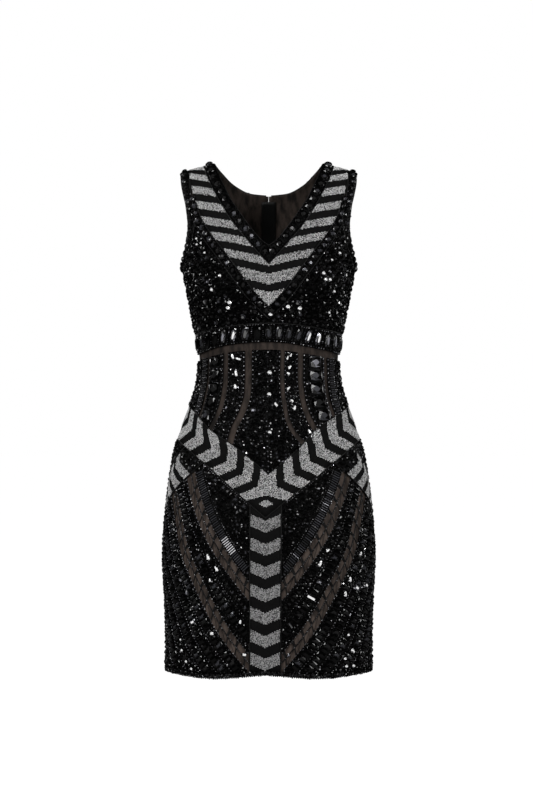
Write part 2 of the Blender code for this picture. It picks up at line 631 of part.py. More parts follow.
def skirt():
    """The side bands, the centre column and the panels with bare mesh between them."""
    side = math.pi / 2
    hip_foot = girdle(hip(HIP_FOOT), 0.0, side)
    hem = girdle(lambda x: HEM + BINDING, 0.0, side)
    band_top, band_foot = slant(SIDE_BAND_TOP), slant(SIDE_BAND_FOOT)
    seam = side_seam(-0.44, HEM)

    upper = kept(moved(band_top, -BUTT / 2), below(hip_foot))
    lower = kept(moved(band_foot, BUTT / 2), below(hip_foot))
    for line in (upper, lower):
        line[:, 0] = np.minimum(line[:, 0], seam[20, 0])
    start = between(hip_foot, upper[0], lower[0], 3)
    grid = patch(resampled(upper, 6), resampled(lower, 6), 3, start)
    both_sides("side_band", grid, "silver_beadwork")

    edge = kept(moved(band_top, BUTT / 2), below(hip_foot, 0.005))
    above_edge = hip_foot[hip_foot[:, 0] > edge[0, 0]] - np.array([0, 2 * BUTT])
    above_edge = np.concatenate([[[edge[0, 0], above_edge[0, 1]]], above_edge])
    for line in (edge, above_edge):
        line[:, 0] = np.minimum(line[:, 0], seam[20, 0])
    grid = patch(resampled(above_edge, 4), resampled(edge, 4), 2)
    both_sides("hip_gusset", grid)

    column = upright(COLUMN, -0.50, HEM)
    centre = upright(0.0, -0.50, HEM)
    panel("centre_column", centre, column, hip_foot, hem, 12, 1, "silver_beadwork", mirrored=True)

    beside = clear_of(COLUMN + BUTT)
    under_band = moved(band_foot, -BUTT / 2)
    ladder, strip = drawn(LADDER_SHEER), drawn(SKIRT_SHEER)
    above_ladder, below_ladder = (moved(ladder, d)[::-1] for d in (-SKIRT_SHEER_HALF, SKIRT_SHEER_HALF))
    above_strip, below_strip = (moved(strip, d)[::-1] for d in (-SKIRT_SHEER_HALF, SKIRT_SHEER_HALF))

    def stretch(line):
        return kept(kept(line, beside), below(under_band, 0.0))

    a = kept(kept(hip_foot - np.array([0, BUTT / 2]), beside), below(under_band, 0.0))
    b = stretch(above_ladder)
    start = resampled(np.array([a[0], b[0]]), 7)
    grid = patch(resampled(a, 8), resampled(b, 8), 7, start, between(under_band, a[-1], b[-1], 7))
    both_sides("skirt_upper", grid)

    a, b = stretch(below_ladder), stretch(above_strip)
    start = resampled(np.array([a[0], b[0]]), 4)
    grid = patch(resampled(a, 13), resampled(b, 13), 4, start, between(under_band, a[-1], b[-1], 4))
    both_sides("skirt_middle", grid)

    a = kept(stretch(below_strip), above(hem, 0.004))
    a = joined(a, under_band[under_band[:, 0] > a[-1, 0] + 0.01])
    a[:, 0] = np.minimum(a[:, 0], seam[20, 0])
    b = np.stack([np.linspace(a[0, 0], seam[-1, 0], 60), np.full(60, HEM + BINDING + BUTT / 2)], axis=-1)
    start = resampled(np.array([a[0], b[0]]), 6)
    grid = patch(resampled(a, 16), resampled(b, 16), 6, start, resampled(side_seam(a[-1, 1], b[-1, 1]), 6))
    both_sides("skirt_lower", grid)


def back_panels():
    """The plain beaded back, in the same bands as the front."""
    side = math.pi / 2
    seam = side_seam(-0.1, HEM, True)
    centre = upright(PLACKET / 2, -0.1, HEM, True)
    waist = girdle(empire(WAIST_SHEER, WAIST_SHEER_DROP), side, math.pi)
    hips = [girdle(hip(z), side, math.pi) for z in (HIP_TOP, HIP_FOOT)]
    hem = girdle(lambda x: HEM + BINDING, side, math.pi)
    panel("back_midriff", seam, centre, waist, hips[0], 8, 10, crowd=1.15)
    panel("back_skirt", seam, centre, hips[1], hem, 14, 10, crowd=1.3, lift=LIFT + 3 * SEAM)

    neck, arm = neck_line(), arm_line()
    empire_top = girdle(empire(EMPIRE_TOP, EMPIRE_TOP_DROP), side, math.pi)
    yoke = lambda e: TOP - YOKE - BUTT - e[:, 1]
    neck_edge = kept(behind_shoulder(moved(trim_line(neck), -BUTT)), yoke)
    arm_edge = kept(behind_shoulder(to_side(moved(arm, ARM_TRIM + 1.5 * BUTT))), yoke)
    arm_edge[:, 0] = np.maximum(arm_edge[:, 0], seam[0, 0])
    low = kept(upright(PLACKET / 2, surface(neck_edge[:1])[0, 2], -0.32, True), above(empire_top))[::-1]
    seam = kept(side_seam(arm_edge[0, 1], -0.32, True), above(empire_top))[::-1]
    a = joined(resampled(low, 9), resampled(neck_edge, 8))
    b = joined(resampled(seam, 4), resampled(arm_edge, 13))
    grid = patch(b, a, 7, between(empire_top, b[0], a[0], 7, 1.25), crowd=1.25)
    both_sides("back_bodice", grid, lift=LIFT + 2 * SEAM)


def block_shape(name, low, high):
    """A plain block between two corners, in the fastener's own directions."""
    shape = bmesh.new()
    bmesh.ops.create_cube(shape, size=1)
    low, high = np.array(low), np.array(high)
    for vertex in shape.verts:
        vertex.co = (low + high) / 2 + np.array(vertex.co) * (high - low)
    mesh = bpy.data.meshes.new(name)
    shape.to_mesh(mesh)
    shape.free()
    return bpy.data.objects.new(name, mesh)


def pin_shape(name, radius, half_length, centre):
    """A round pin along the fastener's sideways direction."""
    shape = bmesh.new()
    turned = Matrix.Rotation(math.pi / 2, 4, "Y")
    bmesh.ops.create_cone(
        shape, cap_ends=True, segments=SIDES, radius1=radius, radius2=radius, depth=2 * half_length, matrix=turned
    )
    for vertex in shape.verts:
        vertex.co = np.array(vertex.co) + np.array(centre)
    mesh = bpy.data.meshes.new(name)
    shape.to_mesh(mesh)
    shape.free()
    return bpy.data.objects.new(name, mesh)


def combined(base, others, operation):
    for other in others:
        bpy.data.collections["cutters"].objects.link(other)
        other.display_type = "WIRE"
        other.hide_render = True
        cut = base.modifiers.new(operation.title(), "BOOLEAN")
        cut.operation = operation
        cut.solver = "EXACT"
        cut.object = other


def fastener():
    """The zip's tape under the back opening, its slider, and the pull tab that swings on the slider's pin."""
    levels = np.linspace(ZIP_TOP, ZIP_FOOT, 25)
    half = ZIP_TAPE_HALF / 0.1
    turns = math.pi - half + np.linspace(0, 2 * half, 3)
    grid = np.stack(np.meshgrid(turns, seen(np.zeros(25), levels, True)[:, 1]), axis=-1)
    cloth("zip_tape", grid, "black_binding", lift=-TAPE_GAP - ZIP_TAPE, thick=ZIP_TAPE)

    place = seen(np.zeros(1), np.array([SLIDER_LEVEL]), True)
    foot = on_block(place, CLOTH + SLIDER_GAP)[0]
    out = facing(place)[0]
    down = np.cross([1.0, 0, 0], out)
    down *= -np.sign(down[2])
    frame = Matrix(np.array([[1.0, 0, 0], down, out]).T.tolist()).to_4x4()
    frame.translation = foot

    pin_height = SLIDER_THICK + SLIDER_GAP + PIN_RADIUS + EYE_CLEARANCE + EYE_WALL
    ear_reach = PIN_RADIUS + EAR_WALL
    body = block_shape(
        "zip_slider", (-SLIDER_WIDTH / 2, -SLIDER_HEIGHT / 2, 0), (SLIDER_WIDTH / 2, SLIDER_HEIGHT / 2, SLIDER_THICK)
    )
    parts = [pin_shape("slider_pin", PIN_RADIUS, EAR_GAP / 2 + EAR_THICK / 2, (0, 0, pin_height))]
    for side in (-1, 1):
        inner, outer = side * EAR_GAP / 2, side * (EAR_GAP / 2 + EAR_THICK)
        low = (min(inner, outer), -ear_reach, SLIDER_THICK / 2)
        high = (max(inner, outer), ear_reach, pin_height + ear_reach)
        parts.append(block_shape("slider_ear", low, high))
    combined(body, parts, "UNION")

    eye = PIN_RADIUS + EYE_CLEARANCE
    tab_half = EAR_GAP / 2 - EYE_CLEARANCE
    tab = pin_shape("zip_pull_tab", eye + EYE_WALL, tab_half, (0, 0, 0))
    neck = block_shape("tab_neck", (-tab_half, 0, -TAB_THICK / 2), (tab_half, TAB_NECK + 0.001, TAB_THICK / 2))
    plate = block_shape(
        "tab_plate", (-TAB_WIDTH / 2, TAB_NECK, -TAB_THICK / 2), (TAB_WIDTH / 2, TAB_LENGTH, TAB_THICK / 2)
    )
    combined(tab, [neck, plate], "UNION")
    combined(tab, [pin_shape("tab_bore", eye, EAR_GAP, (0, 0, 0))], "DIFFERENCE")

    for made, matrix in ((body, frame), (tab, frame @ Matrix.Translation((0, 0, pin_height)))):
        made.data.materials.append(material("zip_metal"))
        bpy.data.collections["dress"].objects.link(made)
        moved_parts = [made] + [m.object for m in made.modifiers]
        for part in moved_parts:
            part.matrix_world = matrix


def main():
    for old in list(bpy.data.objects):
        bpy.data.objects.remove(old)
    for name in ("dress", "cutters"):
        bpy.context.scene.collection.children.link(bpy.data.collections.new(name))
    base_walls()
    neckline_and_armholes()
    bands()
    midriff()
    skirt()
    back_panels()
    fastener()


main()
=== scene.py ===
"""The looks of the beaded, V-necked sheath dress: mesh, bands, beadwork, cut stones and zip, on the solids.

Metres, +Z up, front towards -Y. A point of the cloth is a (turn, level) pair on the fitted block: a turn of 0
is the centre front, 90 degrees the side seam and 180 the centre back. Above the bust the level runs on over
the shoulder.
"""

import math
import bmesh
import bpy
import numpy as np
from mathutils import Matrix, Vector


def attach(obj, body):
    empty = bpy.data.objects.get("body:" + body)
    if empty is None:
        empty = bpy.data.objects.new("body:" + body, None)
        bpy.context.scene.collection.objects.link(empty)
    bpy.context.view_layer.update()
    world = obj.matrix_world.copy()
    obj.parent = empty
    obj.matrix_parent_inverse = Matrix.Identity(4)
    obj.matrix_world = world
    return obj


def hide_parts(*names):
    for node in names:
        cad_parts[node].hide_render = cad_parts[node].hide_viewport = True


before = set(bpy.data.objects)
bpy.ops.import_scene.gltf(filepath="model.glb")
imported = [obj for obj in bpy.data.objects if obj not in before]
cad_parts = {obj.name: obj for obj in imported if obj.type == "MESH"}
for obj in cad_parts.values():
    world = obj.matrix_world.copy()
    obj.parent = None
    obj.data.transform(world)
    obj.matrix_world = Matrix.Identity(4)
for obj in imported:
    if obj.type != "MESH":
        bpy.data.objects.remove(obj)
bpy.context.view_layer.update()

DRESS = "dress"

# ---- sizes shared with the solids

CLOTH, PLY_GAP, BEADWORK = 0.0012, 0.0011, 0.0014
STACK = CLOTH + PLY_GAP + BEADWORK
LIFT = CLOTH + PLY_GAP
SEAM, BUTT, BACK_OPENING, PLACKET = 0.0003, 0.0010, 0.0006, 0.0084

BLOCK = (
    # level, half_width, front, back
    (-0.838, 0.1715, 0.098, 0.104),
    (-0.8, 0.1705, 0.1, 0.107),
    (-0.74, 0.1715, 0.103, 0.112),
    (-0.69, 0.174, 0.106, 0.116),
    (-0.65, 0.1755, 0.108, 0.118),
    (-0.6, 0.173, 0.11, 0.117),
    (-0.56, 0.169, 0.109, 0.113),
    (-0.52, 0.164, 0.107, 0.108),
    (-0.48, 0.157, 0.104, 0.102),
    (-0.44, 0.145, 0.1, 0.095),
    (-0.4, 0.1305, 0.095, 0.089),
    (-0.365, 0.12, 0.091, 0.085),
    (-0.335, 0.117, 0.089, 0.083),
    (-0.3, 0.1195, 0.091, 0.085),
    (-0.27, 0.124, 0.096, 0.09),
    (-0.235, 0.1305, 0.103, 0.097),
    (-0.205, 0.1365, 0.106, 0.101),
    (-0.168, 0.144, 0.105, 0.103),
    (-0.1, 0.151, 0.104, 0.104),
    (0.0, 0.158, 0.104, 0.104),
    (0.12, 0.162, 0.104, 0.104),
)
HEM = BLOCK[0][0]
HEM_DIP, DIP_WIDTH, DIP_START = 0.007, 0.07, -0.68
BUST = -0.205
SQUARENESS = 2.25
NECK_END, ARM_END = 0.09, 0.15
SHOULDER_SLOPE, CREST_ROUND = 0.31, 0.05
CHEST_FLATNESS = 0.12
ABOVE_BUST = 0.205 * math.pi / 2
TOP = BUST + ABOVE_BUST
SIDE_TURN = math.pi / 2 - SEAM / 2 / 0.14

FRONT_EASE = (
    # x, z, wide, up, down, full
    (0.07, -0.205, 0.042, 0.07, 0.045, 0.017),
    (0.088, -0.838, 0.05, 0.24, 0.1, 0.009),
)
BACK_EASE = (
    (0.074, -0.605, 0.06, 0.085, 0.075, 0.018),
    (0.07, -0.13, 0.05, 0.08, 0.08, 0.005),
)

# Edges as seen from the front or back: sideways, height. ON_SHOULDER is any height past the shoulder seam.
ON_SHOULDER = 0.1
NECK_FRONT = (
    (0.0, -0.1433), (0.0114, -0.1353), (0.0285, -0.1153), (0.0497, -0.0852),
    (0.0629, -0.0648), (0.073, -0.044), (0.0832, -0.0226), (NECK_END, ON_SHOULDER),
)
NECK_BACK = (
    (0.0, -0.05), (0.03, -0.047), (0.058, -0.034), (0.078, -0.016), (NECK_END, ON_SHOULDER),
)
ARM_FRONT = (
    (0.144, -0.168), (0.14, -0.1507), (0.1346, -0.131), (0.1313, -0.101), (0.135, -0.0805),
    (0.14, -0.061), (0.145, -0.04), (0.1485, -0.019), (ARM_END, ON_SHOULDER),
)
ARM_BACK = (
    (0.144, -0.168), (0.1405, -0.153), (0.1385, -0.13), (0.136, -0.1), (0.1385, -0.075),
    (0.1425, -0.05), (0.1475, -0.022), (ARM_END, ON_SHOULDER),
)
BIB_INNER = (
    (0.0, -0.1727), (0.0101, -0.1618), (0.0362, -0.1319), (0.059, -0.1025),
    (0.0767, -0.0736), (0.0903, -0.048), (0.1023, -0.0225), (0.107, ON_SHOULDER),
)
BIB_OUTER = (
    (0.0, -0.24), (0.0267, -0.2133), (0.053, -0.1778), (0.073, -0.1494), (0.0928, -0.1225),
    (0.109, -0.0957), (0.119, -0.0685), (0.1275, -0.043), (0.1335, -0.0196), (0.137, ON_SHOULDER),
)
SHEER_INNER = (
    (0.0277, -0.3), (0.027, -0.353), (0.028, -0.379), (0.0345, -0.4112), (0.0462, -0.4404), (0.068, -0.479),
)
SHEER_OUTER = (
    (0.06, -0.3), (0.06, -0.353), (0.062, -0.379), (0.068, -0.4064), (0.078, -0.429), (0.101, -0.47),
)
SHEER_SIDE = (
    (0.0945, -0.3), (0.096, -0.3605), (0.1, -0.3885), (0.1075, -0.4146), (0.122, -0.45),
)
LADDER_SHEER = (
    (0.135, -0.48), (0.1275, -0.51), (0.12, -0.539), (0.101, -0.591),
    (0.078, -0.633), (0.053, -0.669), (0.028, -0.701), (0.003, -0.73),
)
SKIRT_SHEER = (
    (0.157, -0.54), (0.145, -0.594), (0.1366, -0.633), (0.1237, -0.664), (0.098, -0.714),
    (0.0705, -0.761), (0.043, -0.797), (0.0268, -0.8165), (0.004, -0.84),
)
EMPIRE_TOP, EMPIRE_TOP_DROP = -0.268, 0.017
EMPIRE_FOOT, EMPIRE_FOOT_DROP = -0.298, 0.022
WAIST_SHEER, WAIST_SHEER_DROP = -0.3104, 0.02
EMPIRE_SIDE = 0.12
HIP_TOP, HIP_FOOT, HIP_RISE = -0.5137, -0.584, 0.85
SIDE_BAND_TOP = ((68.0, -0.468), (90.0, -0.523))
SIDE_BAND_FOOT = ((49.5, -0.489), (90.0, -0.5795))
COLUMN = 0.0249
BINDING = 0.006
NECK_TRIM, ARM_TRIM, BIB_BORDER = 0.017, 0.013, 0.0145
SHEER_HALF, SIDE_SHEER_HALF, SKIRT_SHEER_HALF = 0.0045, 0.003, 0.007
TURNED_BACK = 0.003
YOKE = 0.07
TRIM_DOME = 0.0016
EMPIRE_STONES = 38
ZIP_TOP, ZIP_FOOT = -0.058, -0.56
ZIP_TAPE_HALF, ZIP_TAPE, TAPE_GAP = 0.012, 0.001, 0.0012

SLIDE = (
    # level, how far the front has slid to the left on its wearer's form
    (-0.85, -0.0061), (-0.6, -0.0054), (-0.565, -0.005), (-0.53, -0.0025), (-0.5, -0.0005),
    (-0.465, -0.002), (-0.43, -0.0036), (-0.4, -0.002), (-0.33, -0.0015), (-0.265, 0.0), (0.2, 0.0),
)
SWAY = (
    # level, how much further the cloth half way to the sides has slid
    (-0.85, 0.0), (-0.475, 0.0), (-0.435, -0.013), (-0.31, -0.013), (-0.265, 0.0), (0.2, 0.0),
)

# ---- the fitted block


def smooth_through(knots, values, at):
    """A smooth curve through the knots, with no overshoot between level neighbours."""
    knots, values = np.asarray(knots, float), np.asarray(values, float)
    step = np.diff(knots)
    slope = np.diff(values) / step
    tangent = np.concatenate([slope[:1], np.zeros(len(slope) - 1), slope[-1:]])
    same = slope[:-1] * slope[1:] > 0
    mean = 2 * slope[:-1] * slope[1:] / np.where(same, slope[:-1] + slope[1:], 1)
    tangent[1:-1] = np.where(same, mean, 0)
    i = np.clip(np.searchsorted(knots, at) - 1, 0, len(step) - 1)
    t = np.clip((at - knots[i]) / step[i], 0, 1)
    rise = values[i + 1] - values[i]
    start, end = tangent[i] * step[i], tangent[i + 1] * step[i]
    return values[i] + t * start + t**2 * (3 * rise - 2 * start - end) + t**3 * (start + end - 2 * rise)


def block(level):
    """Half the width and the depths in front and behind, at the cloth's inner face."""
    rows = np.array(BLOCK)
    return [smooth_through(rows[:, 0], rows[:, k], level) - STACK for k in (1, 2, 3)]


def crest(x):
    """The height of the shoulder seam at a distance from the centre."""
    return SHOULDER_SLOPE * (math.hypot(NECK_END, CREST_ROUND) - np.hypot(x, CREST_ROUND)) - STACK


def fullness(x, z, ease):
    """How far the cut stands out from the plain block."""
    out = np.zeros_like(x)
    for x0, z0, wide, up, down, full in ease:
        reach = np.where(z > z0, up, down)
        out += full * np.exp(-(((np.abs(x) - x0) / wide) ** 2) - ((z - z0) / reach) ** 2)
    return out


def on_block(points, lift=0.0):
    """Places (turn, level) points in space, moved out from the cloth's inner face by lift."""
    points = np.asarray(points, float)
    return surface(points) + facing(points) * np.reshape(lift, (-1, 1) if np.ndim(lift) else (1,))


def surface(points):
    turn, level = points[..., 0], points[..., 1]
    over = level > TOP
    turn = np.where(over, np.sign(turn) * (math.pi - np.abs(turn)), turn)
    level = np.where(over, 2 * TOP - level, level)
    half, front, back = block(level)
    depth = np.where(np.cos(turn) >= 0, front, back)
    radius = (np.abs(np.sin(turn) / half) ** SQUARENESS + np.abs(np.cos(turn) / depth) ** SQUARENESS) ** (
        -1 / SQUARENESS
    )
    x, y = radius * np.sin(turn), -radius * np.cos(turn)
    climb = np.clip((level - BUST) / ABOVE_BUST, 0, 1) * math.pi / 2
    z = np.where(level > BUST, BUST + (crest(x) - BUST) * np.sin(climb), level)
    dip = HEM_DIP * np.exp(-(((np.abs(x) - FRONT_EASE[1][0]) / DIP_WIDTH) ** 2))
    z = z - dip * np.clip((DIP_START - level) / (DIP_START - HEM), 0, 1) ** 1.5
    away = np.clip(np.abs(np.cos(turn)) * 2, 0, 1)
    y = y - np.where(np.cos(turn) >= 0, fullness(x, z, FRONT_EASE), -fullness(x, z, BACK_EASE)) * away
    return np.stack([x, y * np.cos(climb) * (1 - CHEST_FLATNESS * np.sin(climb) ** 2), z], axis=-1)


def slopes(points):
    """How a place moves with its turn and with its level."""
    turned, raised = np.array([1e-4, 0]), np.array([0, 1e-5])
    by_turn = (surface(points + turned) - surface(points - turned)) / 2e-4
    by_level = (surface(points + raised) - surface(points - raised)) / 2e-5
    return by_turn, by_level


def unit(vectors):
    return vectors / np.maximum(np.linalg.norm(vectors, axis=-1, keepdims=True), 1e-12)


def facing(points):
    """Unit vectors out of the cloth."""
    return unit(np.cross(*slopes(points)))


def slide(turn, level):
    """How far sideways the front has slid round the body."""
    even, more = (smooth_through(*np.array(table).T, level) for table in (SLIDE, SWAY))
    return np.cos(turn) ** 2 * (even + more * np.sin(2 * turn) ** 2)


def slid(x, z):
    """How far the slide takes something on the front sideways."""
    turn = math.atan2(x, math.sqrt(max(block(np.array(z))[1] ** 2 - (x * 0.62) ** 2, 1e-4)))
    return float(slide(turn, np.array(z))) if z < SLIDE[-2][0] else 0.0


def seen(x, z, behind=False):
    """The (turn, level) of a point seen from the front, or from behind."""
    climb = np.arcsin(np.clip((z - BUST) / (crest(x) - BUST), 0, 1))
    level = np.where(z > BUST, BUST + ABOVE_BUST * climb * 2 / math.pi, z)
    half, front, back = block(level)
    depth = back if behind else front
    inner = np.abs(x) - STACK * (np.abs(x) / (half + STACK)) ** 4
    share = np.clip(inner / half, 0, 1)
    turn = np.arctan2(share * half, depth * (1 - share**SQUARENESS) ** (1 / SQUARENESS))
    turn = math.pi - turn if behind else turn
    return np.stack([np.where(x < 0, -turn, turn), level], axis=-1)


def seen_at(x, z):
    """The (turn, level) of one place on the front."""
    return seen(np.array([x]), np.array([z]))


def drawn(table, behind=False, steps=12):
    """A smooth edge through a table of (sideways, height)."""
    table = np.array(table)
    table[:, 1] = np.minimum(table[:, 1], crest(table[:, 0]))
    along = np.concatenate([[0], np.cumsum(np.linalg.norm(np.diff(table, axis=0), axis=1))])
    at = np.linspace(0, along[-1], steps * len(table))
    x, z = (smooth_through(along, table[:, k], at) for k in (0, 1))
    return seen(x, z, behind)


def girdle(height, start, end, steps=96):
    """An edge round the body, from one turn to another. Its height depends on how far out it is."""
    turn = np.linspace(start, end, steps)
    level = np.full(steps, float(height(0.1)))
    for _ in range(30):
        x = surface(np.stack([turn, level], axis=-1))[:, 0]
        level = (level + height(np.abs(x))) / 2
    return np.stack([turn, level], axis=-1)


def slant(ends, steps=48):
    """A straight run between two (degrees of turn, level) ends."""
    (turn_0, level_0), (turn_1, level_1) = ends
    t = np.linspace(0, 1, steps)
    return np.stack([np.radians(turn_0 + (turn_1 - turn_0) * t), level_0 + (level_1 - level_0) * t], axis=-1)


def side_seam(top, foot, behind=False, steps=40):
    """The edge of a front or back piece at the side seam, from one level down to another."""
    level = np.linspace(top, foot, steps)
    turn = math.pi / 2 - SEAM / 2 / block(level)[1]
    return np.stack([math.pi - turn if behind else turn, level], axis=-1)


def upright(x, top, foot, behind=False, steps=40):
    """An upright edge at a distance from the centre line."""
    return seen(np.full(steps, x), np.linspace(top, foot, steps), behind)


def lengths(edge):
    """How far along an edge each of its points is."""
    return np.concatenate([[0], np.cumsum(np.linalg.norm(np.diff(surface(edge), axis=0), axis=1))])


def resampled(edge, pieces):
    """The edge again, in pieces of equal length."""
    along = lengths(edge)
    at = np.linspace(0, along[-1], pieces + 1)
    return np.stack([np.interp(at, along, edge[:, k]) for k in (0, 1)], axis=-1)


def moved(edge, distance):
    """The edge moved sideways over the cloth, to the left of its run as seen from outside."""
    places = surface(edge)
    side = np.cross(facing(edge), np.gradient(places, axis=0))
    side *= distance / np.linalg.norm(side, axis=1, keepdims=True)
    return edge + stepped(edge, side)


def stepped(points, step):
    """The change of (turn, level) that takes points by a small step over the cloth."""
    by_turn, by_level = slopes(points)
    tt, tl, ll = ((p * q).sum(1) for p, q in ((by_turn, by_turn), (by_turn, by_level), (by_level, by_level)))
    st, sl = (step * by_turn).sum(1), (step * by_level).sum(1)
    spread = tt * ll - tl * tl
    return np.stack([(st * ll - sl * tl) / spread, (sl * tt - st * tl) / spread], axis=-1)


def kept(edge, inside):
    """The stretch of an edge where inside(edge) is positive, cut exactly where it becomes so."""
    depth = inside(edge)
    index = np.nonzero(depth > 0)[0]
    first, last = index[0], index[-1]
    stretch = list(edge[first : last + 1])
    if first > 0:
        share = depth[first] / (depth[first] - depth[first - 1])
        stretch.insert(0, edge[first] + (edge[first - 1] - edge[first]) * share)
    if last < len(edge) - 1:
        share = depth[last] / (depth[last] - depth[last + 1])
        stretch.append(edge[last] + (edge[last + 1] - edge[last]) * share)
    return np.array(stretch)


def below(line, gap=BUTT / 2):
    """Tells how far under an edge the points lie. The edge runs with its turn."""
    order = np.argsort(line[:, 0])
    return lambda edge: np.interp(edge[:, 0], line[order, 0], line[order, 1]) - gap - edge[:, 1]


def above(line, gap=BUTT / 2):
    under = below(line, -gap)
    return lambda edge: -under(edge)


def clear_of(x):
    """Tells how far outside a distance from the centre line the points lie."""
    return lambda edge: surface(edge)[:, 0] - x


def to_centre(edge):
    """The edge cut or run on so that it starts on the centre line."""
    after = int(np.nonzero(edge[:, 0] > 0)[0][0])
    first, second = edge[max(after - 1, 0)], edge[max(after, 1)]
    start = first - (second - first) * first[0] / (second[0] - first[0])
    return np.concatenate([[start], edge[after:]])


def to_side(edge):
    """An armhole edge cut or run on so that both its ends lie at the side seam."""
    inner = edge[edge[:, 0] < SIDE_TURN]
    ends = []
    for last, near in ((inner[0], inner[3]), (inner[-1], inner[-4])):
        ends.append(last + (last - near) * (SIDE_TURN - last[0]) / (last[0] - near[0]))
    return np.concatenate([[ends[0]], inner, [ends[1]]])


def rising(edge):
    """The stretch of an edge before the shoulder seam."""
    return kept(edge, lambda e: TOP - e[:, 1])


def falling(edge):
    """The stretch of an edge past the shoulder seam."""
    return kept(edge, lambda e: e[:, 1] - TOP)


def folded(edge):
    """A back edge told as one that has crossed the shoulder from the front, or the other way round."""
    edge = edge[::-1]
    return np.stack([math.pi - edge[:, 0], 2 * TOP - edge[:, 1]], axis=-1)


def over_shoulder(front, back):
    """One edge that climbs the front, crosses the shoulder and comes down the back."""
    return np.concatenate([rising(front), folded(rising(back))[1:]])


def behind_shoulder(edge):
    """The back stretch of such an edge, as plain (turn, level) points running up to the shoulder."""
    return folded(falling(edge))


def joined(*edges):
    return np.concatenate([edges[0]] + [edge[1:] for edge in edges[1:]])


def between(line, first, last, pieces, crowd=1.0):
    """The stretch of a line from one corner to another, keeping the corners' distances from it."""
    order = np.argsort(line[:, 0])
    t = np.linspace(0, 1, pieces + 1) ** crowd
    turn = first[0] + (last[0] - first[0]) * t
    at = lambda where: np.interp(where, line[order, 0], line[order, 1])
    level = at(turn) + (first[1] - at(first[0])) * (1 - t) + (last[1] - at(last[0])) * t
    return np.stack([turn, level], axis=-1)


def patch(edge_a, edge_b, across, start=None, end=None, crowd=1.0):
    """A grid of (turn, level) points between two edges, with its ends on the start and end edges if given."""
    t = np.linspace(0, 1, len(edge_a))[:, None, None]
    s = np.linspace(0, 1, across + 1)[None, :, None] ** crowd
    grid = (1 - s) * edge_a[:, None] + s * edge_b[:, None]
    for edge, row, weight in ((start, 0, 1 - t), (end, -1, t)):
        if edge is not None:
            grid = grid + weight * (edge[None] - grid[row][None])
    return grid


def quilt(edge_a, edge_b, along, over, start=None, end=None):
    """A patch between two edges of any kind. along and over count the solids' own rows."""
    return patch(resampled(edge_a, along * FINER), resampled(edge_b, along * FINER), over * FINER, start, end)


# ---- node trees


class Web:
    """A node tree being put together."""

    def __init__(self, tree):
        self.tree = tree

    def add(self, kind, inputs=None, **settings):
        node = self.tree.nodes.new(kind)
        for name, value in settings.items():
            setattr(node, name, value)
        return self.feed(node, inputs or {})

    def feed(self, node, inputs):
        """Links or sets the inputs of a node."""
        for name, value in inputs.items():
            if isinstance(value, bpy.types.NodeSocket):
                self.tree.links.new(value, node.inputs[name])
            else:
                node.inputs[name].default_value = value
        return node

    def maths(self, operation, *values):
        return self.add("ShaderNodeMath", dict(enumerate(values)), operation=operation).outputs[0]

    def mixed(self, share, first, second):
        """A colour between two others."""
        return self.add("ShaderNodeMix", {0: share, 6: first, 7: second}, data_type="RGBA").outputs[2]


def new_object(name, data):
    """An object in the scene."""
    made = bpy.data.objects.new(name, data)
    bpy.context.scene.collection.objects.link(made)
    return made


def group(name, kind, inputs, outputs):
    """A node group with named sockets, as a Web, with its input and output nodes."""
    tree = bpy.data.node_groups.new(name, kind)
    for direction, sockets in (("INPUT", inputs), ("OUTPUT", outputs)):
        for label, kind_of, *default in sockets:
            socket = tree.interface.new_socket(label, in_out=direction, socket_type="NodeSocket" + kind_of)
            if default:
                socket.default_value = default[0]
    web = Web(tree)
    return web, web.add("NodeGroupInput"), web.add("NodeGroupOutput")


def set_stones_tree():
    """Stones set on points. Each point says which way is out, which way its stone runs, its size and kind."""
    web, given, made = group(
        "set_stones",
        "GeometryNodeTree",
        (
            ("Points", "Geometry"),
            ("Stones", "Collection"),
            ("Tilt", "Float", 0.2),
            ("Seed", "Int", 1),
            ("Finish", "Material"),
        ),
        (("Stones", "Geometry"),),
    )

    def named(label, kind):
        return web.add("GeometryNodeInputNamedAttribute", {"Name": label}, data_type=kind).outputs[0]

    stones = web.add(
        "GeometryNodeCollectionInfo",
        {"Collection": given.outputs["Stones"], "Separate Children": True, "Reset Children": True},
    )
    axes = web.add(
        "FunctionNodeAxesToRotation",
        {0: named("out", "FLOAT_VECTOR"), 1: named("run", "FLOAT_VECTOR")},
        primary_axis="Z",
        secondary_axis="X",
    )
    least = web.maths("MULTIPLY", given.outputs["Tilt"], -1.0)
    low = web.add("ShaderNodeCombineXYZ", {0: least, 1: least})
    high = web.add("ShaderNodeCombineXYZ", {0: given.outputs["Tilt"], 1: given.outputs["Tilt"]})
    lean = web.add(
        "FunctionNodeRandomValue",
        {0: low.outputs[0], 1: high.outputs[0], "Seed": given.outputs["Seed"]},
        data_type="FLOAT_VECTOR",
    )
    turned = web.add(
        "FunctionNodeRotateRotation", {0: axes.outputs[0], 1: lean.outputs[0]}, rotation_space="LOCAL"
    )
    placed = web.add(
        "GeometryNodeInstanceOnPoints",
        {
            "Points": given.outputs["Points"],
            "Instance": stones.outputs[0],
            "Pick Instance": True,
            "Instance Index": named("kind", "INT"),
            "Rotation": turned.outputs[0],
            "Scale": named("size", "FLOAT_VECTOR"),
        },
    )
    real = web.add("GeometryNodeRealizeInstances", {0: placed.outputs[0]}).outputs[0]
    for label in ("out", "run", "size", "kind"):
        real = web.add("GeometryNodeRemoveAttribute", {0: real, "Name": label}).outputs[0]
    final = web.add("GeometryNodeSetMaterial", {"Geometry": real, "Material": given.outputs["Finish"]})
    web.feed(made, {0: final.outputs[0]})
    return web.tree


